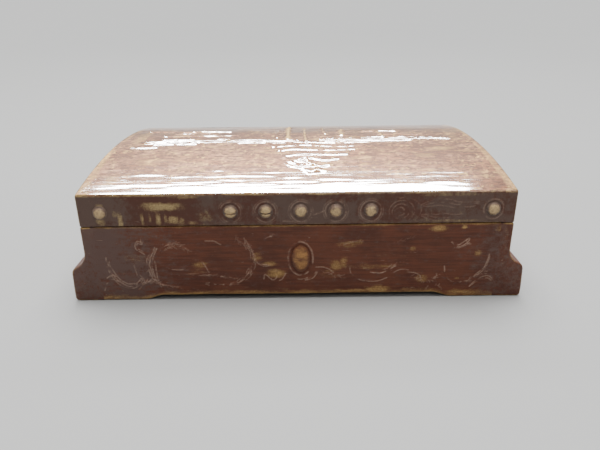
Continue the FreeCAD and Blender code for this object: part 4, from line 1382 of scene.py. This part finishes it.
@dataclass
class LidRail:
    """Front rail of the lid, with a rolled upper edge."""

    pitch: float = 0.36
    roll: float = 1.3
    marks: tuple[Mark, ...] = RAIL_MARKS

    def build(self, finish: Material, crown: Material) -> Piece:
        """Build and dress the rail.

        Args:
            finish: Its material.
            crown: Material of its strip of the lid's top, a lighter copy of the lacquer with painted light
                from above.

        Returns:
            The rail.
        """
        x = stops(-PLAN.inner, PLAN.inner, self.pitch, 0.8, 2)[:, None]
        z = stops(PLAN.seat, PLAN.arris - self.roll, self.pitch)[None, :]
        skin = carved(x, z, self.marks)
        blank = ramp(PLAN.inner - np.abs(x), 0.0, 2.5)
        blank = blank * ramp(z - PLAN.seat, 0.8, 2.5) * ramp(PLAN.arris - z, 1.2, 3.0)
        sway = uneven(x, z, (24.0, 8.0), 18, 4, 0.34) + uneven(x, z, (7.0, 1.5), 19, 3, 0.14)
        low_round = 0.35 + 0.6 * mottle(x, x * 0, (12.0, 1.0), 23)
        y = PLAN.front + roundover(z - PLAN.seat, low_round) - (skin.height + sway) * blank
        rubbed = mottle(x, z, (13.0, 3.0), 24)
        skin.rub(np.exp(-(z - PLAN.seat) / 0.8) * (0.2 + 0.6 * rubbed))
        skin.rub(np.exp(-(PLAN.arris - z) / 1.6) * (0.15 + 0.75 * rubbed))
        skin.haze = lid_dust(x, z)
        top = self.shoulder(x)
        lip = top_skin(x, top[:, :, 1])
        top[:, :, 2] += lip.height
        rest = self.rear(x)
        coats = joined(skin.coats(), lip.coats(), plain_coats(rest.shape[:2]))
        piece = wrapped("lid_front_rail_carved", np.concatenate([places(x, y, z), top, rest], 1), coats)
        dress(piece, Body.LID, finish, "lacquered_wood", "lid_front_rail", crown=crown)
        return piece

    def shoulder(self, x: Array) -> Array:
        """Rolled edge and the strip of the top that the rail carries.

        Args:
            x: Places along the length.

        Returns:
            A row of points for each place.
        """
        turn = np.linspace(0.12, math.pi / 2 - 0.25, 7)
        strip = np.linspace(PLAN.front + self.roll + 0.3, PLAN.panel_low, 6)
        y = np.concatenate([PLAN.front + self.roll * (1 - np.cos(turn)), strip])
        z = PLAN.arch(y)
        lift = z[len(turn)] - PLAN.arris
        rolled = PLAN.arris - self.roll + (self.roll + lift) * np.sin(turn)
        z[: len(turn)] = np.minimum(rolled, z[: len(turn)])
        return places(x, y, z)

    def rear(self, x: Array) -> Array:
        """Rabbet, inner face and underside.

        Args:
            x: Places along the length.

        Returns:
            A row of points for each place.
        """
        back = PLAN.front_in
        y = np.array([PLAN.panel_low, back, back, back, PLAN.front + 5, PLAN.front + 2.5])
        top = PLAN.arch(y[:2], PLAN.panel)
        z = np.array([top[0], top[1], (top[1] + PLAN.seat) / 2, PLAN.seat, PLAN.seat, PLAN.seat])
        return places(x, y, z)


@dataclass
class LidEnd:
    """Arched end of the lid."""

    side: int
    pitch: float = 0.9
    roll: float = 1.3
    arris: float = 1.1
    cap_inset: float = 1.4

    def build(self, finish: Material, crown: Material) -> Piece:
        """Build and dress the end.

        Args:
            finish: Its material.
            crown: Material of its strip of the lid's top, a lighter copy of the lacquer with painted light
                from above.

        Returns:
            The end.
        """
        reach = PLAN.panel_reach
        x = np.array([PLAN.inner, reach - 1e-3, reach, *np.linspace(reach + 0.5, PLAN.wall - self.arris, 4)])
        x = np.concatenate([x, PLAN.wall - self.arris * (1 - np.sin(np.linspace(0.2, math.pi / 2, 6)))])
        shrink = roundover(PLAN.wall - x, np.full(x.shape, self.arris))
        x, shrink = np.append(x, x[-1]), np.append(shrink, shrink[-1] + self.cap_inset)
        outlines = [self.outline(inset, place) for place, inset in zip(x, shrink)]
        rings = np.array([outline for outline, _ in outlines])
        coats = plain_coats(rings.shape[:2])
        coats["wear"] = np.array([wear for _, wear in outlines])
        coats["wear"][-1] *= 0.2
        rings[:, :, 0] -= PLAN.inset(rings[:, :, 1]) * ramp(rings[:, :, 0], PLAN.panel_reach, PLAN.wall)
        rings[:, :, 0] *= self.side
        coats["haze"] = lid_dust(rings[:, :, 0], rings[:, :, 2])
        name = "right" if self.side > 0 else "left"
        piece = wrapped(f"lid_{name}_end_shaped", rings, coats)
        trim_slope(piece, PLAN.seat, 1)
        dress(piece, Body.LID, finish, "lacquered_wood", f"lid_{name}_end", crown=crown)
        return piece

    def outline(self, inset: float, place: float) -> tuple[Array, Array]:
        """Outline of the board at one place along its thickness.

        Args:
            inset: How far the outline is drawn in, near the outer face.
            place: Place along the length.

        Returns:
            The outline's points and their worn gilding.
        """
        low, high = PLAN.front + inset, PLAN.back - inset
        turn = np.linspace(0.0, math.pi / 2 - 0.25, 8)
        clear = self.roll + 0.3
        y = low + clear + (high - low - 2 * clear) * stops(0.0, 160.0, self.pitch, 1.0, 2) / 160.0
        rabbet = place < PLAN.panel_reach - 1e-4
        under = (y > PLAN.panel_low) & (y < PLAN.panel_high) & rabbet
        skin = top_skin(np.full(y.shape, place * self.side), y)
        z = np.where(under, PLAN.arch(y, PLAN.panel), PLAN.arch(y) - inset + skin.height)
        rounded = self.roll * (1 - np.cos(turn))
        lift = float(PLAN.arch(np.array(PLAN.front + clear))) - PLAN.arris
        rise = PLAN.arris - self.roll - inset + (self.roll + lift) * np.sin(turn)
        sides = PLAN.seat + inset, PLAN.arris - self.roll - inset - 0.2
        low_z = sides[0] + (sides[1] - sides[0]) * stops(0.0, 18.0, 1.2, 0.8, 3) / 18.0
        bottom = np.linspace(high - 4.0, low + 4.0, 12)
        parts = [
            (np.full(low_z.shape, low), low_z),
            (low + rounded, rise),
            (y, z),
            ((high - rounded)[::-1], rise[::-1]),
            (np.full(low_z.shape, high), low_z[::-1]),
            (bottom, np.full(bottom.shape, PLAN.seat + inset)),
        ]
        shape = np.concatenate([np.stack(part, 1) for part in parts])
        first = len(low_z)
        count = first + len(turn)
        wear = np.zeros(len(shape))
        wear[count : count + len(y)] = np.where(under, 0.0, skin.wear)
        if inset > 0.05:
            wear = np.maximum(wear, 0.3 + 0.7 * mottle(shape[:, 0], shape[:, 1], (12.0, 4.0), 26 + self.side))
        wear[first:count] = np.maximum(wear[first:count], 0.5)
        return np.concatenate([np.full((len(shape), 1), place), shape], 1), wear


@dataclass
class LidPanel:
    """Arched panel in relief."""

    pitch: float = 0.69

    def build(self, finish: Material) -> Piece:
        """Build and dress the panel.

        Args:
            finish: Its material.

        Returns:
            The panel.
        """
        low, high, reach = PLAN.panel_low, PLAN.panel_high, PLAN.panel_reach
        x = np.linspace(-reach, reach, int(2 * reach / self.pitch) + 1)[:, None]
        y = np.linspace(low, high, int((high - low) / self.pitch) + 1)[None, :]
        under_y = np.linspace(high, low, 25)[None, :]
        skin = top_skin(x, y)
        upper = places(x, y, PLAN.arch(y) + skin.height)
        lower = places(x, under_y, PLAN.arch(under_y, PLAN.panel))
        coats = joined(skin.coats(), plain_coats(lower.shape[:2]))
        piece = wrapped("lid_top_panel_carved", np.concatenate([upper, lower], 1), coats)
        dress(piece, Body.LID, finish, "lacquered_wood", "lid_top_panel")
        return piece


@dataclass
class BackWork:
    """Back board and back rail: the model's own boards with softened, worn long edges."""

    soften: float = 0.45

    def build(self, node: str, body: Body, finish: Material, lines: Sequence[float],
              crown: Optional[Material] = None) -> Piece:
        """Build and dress one board.

        Args:
            node: The board's node.
            body: Body that it rides on.
            finish: Its material.
            lines: Heights of the board's long worn edges in millimetres.
            crown: Material of its strip of the lid's top, where it has one: a lighter copy of the lacquer
                with painted light from above.

        Returns:
            The board.
        """
        bm = bmesh.new()
        bm.from_mesh(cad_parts[node].data)
        bmesh.ops.scale(bm, vec=(1 / MM,) * 3, verts=bm.verts)
        bmesh.ops.remove_doubles(bm, verts=bm.verts, dist=JOIN)
        bmesh.ops.dissolve_limit(bm, angle_limit=math.radians(0.5), verts=bm.verts, edges=bm.edges)
        long_edges = []
        for edge in bm.edges:
            span = edge.verts[1].co - edge.verts[0].co
            outside = min(vert.co.y for vert in edge.verts) > PLAN.back - 0.1
            if outside and abs(span.x) > 100.0 and len(edge.link_faces) == 2:
                long_edges.append(edge)
        bmesh.ops.bevel(
            bm, geom=long_edges, offset=self.soften, offset_type="OFFSET", affect="EDGES", segments=3,
            profile=0.5, material=-1, clamp_overlap=True,
        )
        for height in lines:
            for offset in (-1.6, -0.7, 0.7, 1.6):
                slice_across(bm, 2, height + offset)
        for place in range(-110, 111, 10):
            slice_across(bm, 0, float(place))
        wear = bm.verts.layers.float.new("wear")
        for vert in bm.verts:
            near = min(abs(vert.co.z - height) for height in lines)
            if vert.co.y > PLAN.back - 1.0 and near < 1.0:
                vert[wear] = 0.35 + 0.6 * cloud_at(vert.co.x, 0.0, (16.0, 1.0), 33)
        piece = finish_mesh(f"{node}_worn", bm, 30.0)
        dress(piece, body, finish, "lacquered_wood", node, crown=crown)
        return piece


# ---------------------------------------------------------------- studs and boss


@dataclass
class Stud:
    """Domed stud on the lid's front, some with a crease across it."""

    number: int
    creased: bool
    rings: int = 22
    sides: int = 56
    rim: float = 0.45

    def outline(self, radius: float, rise: float) -> list[Point]:
        """Outline of the stud, from the top of its dome to its hidden face.

        Args:
            radius: The stud's radius.
            rise: How far it stands out.

        Returns:
            Distances from its axis and places along it.
        """
        turns = np.linspace(0.06, 1.0, self.rings) * math.pi / 2
        dome = zip(radius * 0.86 * np.sin(turns), -self.rim - (rise - self.rim) * np.cos(turns))
        skirt = [(radius * 0.90, -0.30), (radius * 0.96, -0.26), (radius, -0.05), (radius, 0.5), (0.0, 0.5)]
        return [(0.0, -rise), *dome, *skirt]

    def build(self, finish: Material) -> Piece:
        """Build and dress the stud.

        Args:
            finish: Its material.

        Returns:
            The stud.
        """
        low, high = room(f"stud_{self.number}")
        radius, rise = (high.x - low.x) / 2, PLAN.front - low.y
        bm = turned(self.outline(radius, rise), self.sides)
        wear, haze = (bm.verts.layers.float.new(key) for key in ("wear", "haze"))
        for vert in bm.verts:
            a, b = vert.co.x, vert.co.z
            reach = math.hypot(a, b) / radius
            cloud = cloud_at(a + 20.0 * self.number, b, (2.6, 2.2), 51)
            groove = math.exp(-(((b + 1.0 - 0.06 * a * a) / 0.36) ** 2)) if self.creased else 0.0
            if vert.co.y < -0.3:
                dent = 0.42 * (cloud - 0.5) + 0.75 * groove * max(0.0, 1 - reach**2)
                vert.co.y = min(max(vert.co.y + dent, -rise), -0.2)
            worn = 1.45 if self.creased else 1.20
            vert[wear] = max(0.0, worn * (1 - (reach / 0.92) ** 2.4) * (0.45 + 0.9 * cloud) - 0.9 * groove)
            vert[haze] = 0.5 + 0.5 * max(0.0, b / radius)
        bmesh.ops.translate(bm, vec=(STUDS[self.number - 1], PLAN.front, STUD_HEIGHT), verts=bm.verts)
        piece = finish_mesh(f"stud_{self.number}_domed", bm, 50.0)
        dress(piece, Body.LID, finish, "gilt_metal", f"stud_{self.number}")
        return piece


@dataclass
class OvalBoss:
    """Oval boss on the base's front."""

    rings: int = 26
    sides: int = 96
    rim: float = 0.15

    def build(self, finish: Material) -> Piece:
        """Build and dress the boss.

        Args:
            finish: Its material.

        Returns:
            The boss.
        """
        low, high = room("front_medallion")
        half, middle, rise = (high - low) / 2, (low + high) / 2, PLAN.front - low.y
        shape = [(0.0, -rise)]
        for share in np.linspace(0.05, 1.0, self.rings):
            turn = share * math.pi / 2
            shape.append((math.sin(turn) * 0.995, -self.rim - (rise - self.rim) * math.cos(turn) ** 0.85))
        bm = turned([*shape, (1.0, 0.3), (1.0, 1.1), (0.0, 1.1)], self.sides)
        wear = bm.verts.layers.float.new("wear")
        for vert in bm.verts:
            reach = math.hypot(vert.co.x, vert.co.z)
            vert.co.x *= half.x
            vert.co.z *= half.z
            if vert.co.y < -0.1:
                cloud = cloud_at(vert.co.x, vert.co.z, (4.5, 3.0), 55)
                vert.co.y += 0.30 * cloud * (1 - reach**2)
                vert[wear] = (1 - reach**3) * (0.35 + 0.8 * cloud) + 0.25 * max(0.0, vert.co.z / half.z)
        bmesh.ops.translate(bm, vec=(middle.x, PLAN.front, middle.z), verts=bm.verts)
        piece = finish_mesh("front_medallion_domed", bm, 60.0)
        dress(piece, Body.BASE, finish, "gilt_wood", "front_medallion")
        return piece


# ---------------------------------------------------------------- velvet


@dataclass
class SoftBlock:
    """Velvet-covered card, board or pad in the room that its node holds."""

    node: str
    body: Body
    crown: float = 0.0
    edge: float = 0.45
    fill: Optional[float] = None
    cell: float = 3.0

    def build(self, finish: Material) -> Piece:
        """Build and dress the piece.

        Args:
            finish: Its material.

        Returns:
            The piece.
        """
        low, high = room(self.node)
        size = high - low
        bm = bmesh.new()
        bmesh.ops.create_cube(bm, size=1.0)
        bmesh.ops.scale(bm, vec=size, verts=bm.verts)
        bmesh.ops.translate(bm, vec=(low + high) / 2, verts=bm.verts)
        bmesh.ops.bevel(
            bm, geom=bm.edges[:], offset=min(self.edge, 0.45 * min(size)), offset_type="OFFSET",
            affect="EDGES", segments=4, profile=0.5, material=-1,
        )
        for axis in range(3):
            count = int(size[axis] / self.cell)
            for number in range(1, count):
                slice_across(bm, axis, low[axis] + size[axis] * number / count)
        if self.crown:
            self.puff(bm, low, high)
        piece = finish_mesh(f"{self.node}_velvet", bm, 60.0)
        dress(piece, self.body, finish, "velvet", self.node)
        return piece

    def puff(self, bm: bmesh.types.BMesh, low: Vector, high: Vector) -> None:
        """Lower the top towards its edges and pull its sides in between the corners.

        Args:
            bm: The pad's mesh, which is changed.
            low: Lowest corner of its room.
            high: Highest corner of its room.
        """
        for vert in bm.verts:
            x, y, z = vert.co
            u = 2 * (x - low.x) / (high.x - low.x) - 1
            v = 2 * (y - low.y) / (high.y - low.y) - 1
            up = (z - low.z) / (high.z - low.z)
            edge = min(1.0, min(x - low.x, high.x - x, y - low.y, high.y - y) / 9.0)
            swell = math.sqrt(max(0.0, 1 - (1 - edge) ** 2))
            rumple = cloud_at(x, y, (26.0, 26.0), 91) - 0.5
            vert.co.z -= self.crown * up * (1 - swell * (0.88 + 0.24 * rumple))
            vert.co.x -= 0.4 * up * u**3 * (1 - v * v)
            vert.co.y -= 0.4 * up * v**3 * (1 - u * u)


@dataclass
class RingRoll:
    """Padded roll that rings stand in."""

    node: str
    sides: int = 36
    pitch: float = 2.4
    end_round: float = 5.0

    def build(self, finish: Material) -> Piece:
        """Build and dress the roll.

        Args:
            finish: Its material.

        Returns:
            The roll.
        """
        low, high = room(self.node)
        radius, middle = (high.x - low.x) / 2, (low + high) / 2
        y = stops(low.y, high.y, self.pitch, self.end_round, 7)[:, None]
        near = np.minimum(y - low.y, high.y - y)
        turn = (np.arange(self.sides) / self.sides * 2 * math.pi)[None, :]
        girth = radius * (1 - 0.03 * mottle(y + middle.x, turn * 8, (11.0, 9.0), 71))
        girth = girth - roundover(near, np.full(near.shape, self.end_round))
        pucker = 0.25 * np.cos(turn * 9) * np.exp(-near / 2.5)
        girth = np.maximum(girth + pucker, 0.6)
        z = np.maximum(middle.z + girth * np.sin(turn), low.z + 0.02)
        piece = wrapped(f"{self.node}_velvet", places(middle.x + girth * np.cos(turn), y, z), {})
        dress(piece, Body.BASE, finish, "velvet", self.node)
        return piece


@dataclass
class LidPad:
    """Arched pad under the lid's panel, buttoned down in a quilted pattern."""

    pitch: float = 1.6
    depth: float = 2.2
    tuft: Point = (29.6, 29.2)

    def build(self, finish: Material) -> Piece:
        """Build and dress the pad.

        Args:
            finish: Its material.

        Returns:
            The pad.
        """
        low, high = room("lid_lining_pad")
        x = stops(low.x, high.x, self.pitch, 3.0, 5)[:, None]
        y = stops(low.y, high.y, self.pitch, 3.0, 5)[None, :]
        near = np.minimum(np.minimum(x - low.x, high.x - x), np.minimum(y - low.y, high.y - y))
        a, b = x / self.tuft[0], (y - PLAN.middle) / self.tuft[1]
        quilt = 1.0
        for slant in (a + b, a - b):
            quilt = quilt * (1 - np.exp(-((np.minimum(slant % 1.0, 1 - slant % 1.0) / 0.10) ** 2)))
        full = self.depth * (0.45 + 0.50 * quilt)
        thick = full * np.sqrt(np.clip(1 - (1 - np.clip(near / 4.0, 0, 1)) ** 2, 0.04, 1))
        roof = PLAN.arch(y, PLAN.panel + 0.04)
        rings = np.concatenate([places(x, y, roof + 0 * x), places(x, y, roof - thick)[:, ::-1]], 1)
        piece = wrapped("lid_lining_pad_quilted", rings, {})
        dress(piece, Body.LID, finish, "velvet", "lid_lining_pad")
        return piece


# ---------------------------------------------------------------- sub-assemblies


@dataclass
class BaseBox:
    """Boards, boss and lining of the base."""

    face: Material
    ends: Material
    boss: Material
    velvet: Material
    plain: Material

    def build(self) -> None:
        """Build every piece of the base."""
        FrontBoard().build(self.face)
        EndBoard(-1).build(self.ends)
        EndBoard(1).build(self.ends)
        BackWork().build("back_board", Body.BASE, self.face, (PLAN.apron, 0.0, PLAN.rim - 2.6))
        OvalBoss().build(self.boss)
        for node in ("front_wall_lining", "back_wall_lining", "left_wall_lining", "right_wall_lining"):
            SoftBlock(node, Body.BASE, edge=0.4, cell=12.0).build(self.velvet)
        for node in ("cross_divider", "long_divider"):
            SoftBlock(node, Body.BASE, edge=1.2, cell=12.0).build(self.velvet)
        for node in ("front_floor_pad", "back_floor_pad"):
            SoftBlock(node, Body.BASE, crown=1.3, edge=0.9, fill=0.5).build(self.velvet)
        for number in range(1, 6):
            RingRoll(f"ring_roll_{number}").build(self.velvet)
        paint("bottom_board", self.plain)


@dataclass
class Lid:
    """Boards, studs and lining of the lid."""

    rail: Material
    # Lighter copy of the lacquer for the lid's top, with painted light from above.
    top: Material
    studs: Material
    velvet: Material
    creased: tuple[int, ...] = (2, 3)

    def build(self) -> None:
        """Build every piece of the lid."""
        LidRail().build(self.rail, self.top)
        LidPanel().build(self.top)
        LidEnd(-1).build(self.rail, self.top)
        LidEnd(1).build(self.rail, self.top)
        BackWork().build("lid_back_rail", Body.LID, self.rail, (PLAN.seat + 2.6, PLAN.arris), self.top)
        for number in range(1, 8):
            Stud(number, number in self.creased).build(self.studs)
        for node in ("lid_front_lining", "lid_back_lining"):
            SoftBlock(node, Body.LID, edge=0.4, cell=12.0).build(self.velvet)
        for node in ("lid_left_lining", "lid_right_lining"):
            paint(node, self.velvet)
        LidPad().build(self.velvet)


@dataclass
class Hinges:
    """The model's own hinge pieces in aged brass."""

    brass: Material
    steel: Material
    sides: tuple[str, ...] = ("left", "right")

    def build(self) -> None:
        """Give every hinge piece its metal."""
        for side in self.sides:
            for piece in ("base_leaf", "lid_leaf", "pin"):
                paint(f"{side}_hinge_{piece}", self.brass)
            for piece in ("base_screws", "lid_screws"):
                paint(f"{side}_hinge_{piece}", self.steel)


def paint(node: str, material: Material) -> None:
    """Give a node of the model another material.

    Args:
        node: The node.
        material: Its new material.
    """
    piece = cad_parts[node]
    for place in piece.material_slots:
        place.material = material
    if not piece.material_slots:
        piece.data.materials.append(material)
    LOG.info("%s: painted %s", node, material.name)


# ---------------------------------------------------------------- studio


@dataclass(frozen=True)
class Softbox:
    """Area light."""

    name: str
    at: Place
    size: Point
    power: float
    tint: Colour = (1.0, 1.0, 1.0)
    glare: bool = False

    def hang(self, aim: Place) -> None:
        """Hang the light.  One made for glare is oval and shows in reflections only.

        Args:
            aim: The place that it faces, in metres.
        """
        lamp = bpy.data.lights.new(self.name, "AREA")
        lamp.shape = "ELLIPSE" if self.glare else "RECTANGLE"
        lamp.size, lamp.size_y = self.size
        lamp.energy = self.power
        lamp.color = self.tint
        made = placed(self.name, lamp)
        made.visible_diffuse = not self.glare
        made.location = self.at
        made.rotation_euler = (Vector(aim) - Vector(self.at)).to_track_quat("-Z", "Y").to_euler()


@dataclass
class Studio:
    """Floor, lights and camera: places in metres, angles in degrees, the lens in millimetres."""

    camera_at: Place = (0.0018, -0.3807, 0.1758)
    pitch: float = 23.0
    roll: float = 0.65
    lens: float = 33.6
    aim: Place = (0.0, 0.0, 0.05)
    floor_half: float = 40.0
    sky: Colour = (0.88, 0.92, 0.96)
    sky_strength: float = 0.40
    ceiling_strength: float = 11.0
    ceiling_angle: float = 55.0
    ceiling_tilt: float = -12.0
    softboxes: tuple[Softbox, ...] = (
        Softbox("back_softbox", (-0.05, 0.942, 0.982), (1.14, 0.205), 102.0, glare=True),
        Softbox("front_fill", (0.35, -1.1, 1.3), (1.0, 0.8), 6.0, (1.0, 0.96, 0.91)),
    )

    def build(self) -> None:
        """Set up the studio."""
        self.floor()
        self.lights()
        self.camera()

    def floor(self) -> None:
        """Lay the floor."""
        bm = bmesh.new()
        bmesh.ops.create_grid(bm, x_segments=1, y_segments=1, size=self.floor_half)
        mesh = bpy.data.meshes.new("studio_floor")
        bm.to_mesh(mesh)
        bm.free()
        mesh.materials.append(PaleFloor().material())
        placed("studio_floor", mesh)

    def lights(self) -> None:
        """Light the box from behind and above, with a softer fill from the front."""
        world = bpy.data.worlds.new("studio")
        world.use_nodes = True
        background = world.node_tree.nodes["Background"]
        background.inputs["Color"].default_value = (*self.sky, 1.0)
        background.inputs["Strength"].default_value = self.sky_strength
        bpy.context.scene.world = world
        for softbox in self.softboxes:
            softbox.hang(self.aim)
        ceiling = bpy.data.lights.new("ceiling", "SUN")
        ceiling.energy = self.ceiling_strength
        ceiling.angle = math.radians(self.ceiling_angle)
        made = placed("ceiling", ceiling)
        made.visible_glossy = False
        made.rotation_euler = (math.radians(self.ceiling_tilt), 0.0, 0.0)

    def camera(self) -> None:
        """Place the camera."""
        data = bpy.data.cameras.new("camera")
        data.sensor_width = 36.0
        data.lens = self.lens
        data.clip_start = 0.01
        made = placed("camera", data)
        made.location = self.camera_at
        tilt = math.radians(self.pitch)
        level = Vector((0.0, math.cos(tilt), -math.sin(tilt))).to_track_quat("-Z", "Y").to_matrix()
        made.rotation_euler = (level @ Matrix.Rotation(math.radians(-self.roll), 3, "Z")).to_euler()
        bpy.context.scene.camera = made


# ---------------------------------------------------------------- finishes


FACE = Lacquer("oxblood_face", shine=0.18)
ENDS = Lacquer("oxblood_ends", grain=(900.0, 55.0, 900.0), brush=(520.0, 130.0, 520.0), shine=0.2)
RAIL = Lacquer(
    "oxblood_rail",
    ground=(0.070, 0.027, 0.016),
    bloom=(0.088, 0.054, 0.041),
    gilt=(0.43, 0.31, 0.14),
    brush=(420.0, 420.0, 300.0),
    pebble=0.06,
    shine=0.25,
)
# The lid's top: a lighter copy of the front's lacquer. Its ground, bloom and gilt colours are partly painted
# light, standing for the strong light from above on the top; its coat and gloss are the lacquer's own.
LIT_TOP = Lacquer(
    "oxblood_top_painted_light",
    ground=(0.20, 0.080, 0.036),
    shade=(0.060, 0.021, 0.011),
    bloom=(0.27, 0.140, 0.080),
    gilt=(0.66, 0.44, 0.14),
    thread=(0.6, 0.45, 0.33),
    grain=(90.0, 420.0, 420.0),
    brush=(170.0, 400.0, 400.0),
    pebble=0.10,
    fleck=0.9,
    patter=0.95,
    nicks=0.0,
    gloss=(0.42, 0.56),
    shine=0.12,
    tint=(1.0, 0.58, 0.32),
    flake=0.32,
    coat=1.0,
    coat_gloss=0.085,
    coat_ior=1.9,
)
BOSS = Lacquer("gilded_boss", ground=(0.13, 0.050, 0.022), gilt=(0.38, 0.19, 0.062), nicks=0.0)
STUD = Lacquer(
    "gilded_studs",
    ground=(0.12, 0.070, 0.050),
    shade=(0.040, 0.022, 0.016),
    bloom=(0.13, 0.086, 0.064),
    gilt=(0.50, 0.34, 0.16),
    nicks=0.0,
    gloss=(0.34, 0.5),
    shine=0.5,
)
BRASS = AgedMetal("hinge_brass", (0.62, 0.42, 0.17), (0.16, 0.09, 0.04), 0.34)
STEEL = AgedMetal("screw_steel", (0.52, 0.42, 0.26), (0.12, 0.09, 0.06), 0.36)


def main() -> None:
    """Build the box and the studio."""
    logging.basicConfig(level=logging.INFO, format="%(name)s %(message)s")
    face, rail, top, ends = (finish.material() for finish in (FACE, RAIL, LIT_TOP, ENDS))
    boss, studs = BOSS.material(), STUD.material()
    velvet = Velvet("burgundy_velvet").material()
    plain = PlainBoard("bare_board").material()
    BaseBox(face, ends, boss, velvet, plain).build()
    Lid(rail, top, studs, velvet).build()
    Hinges(BRASS.material(), STEEL.material()).build()
    Studio().build()


if __name__ == "__main__":
    main()
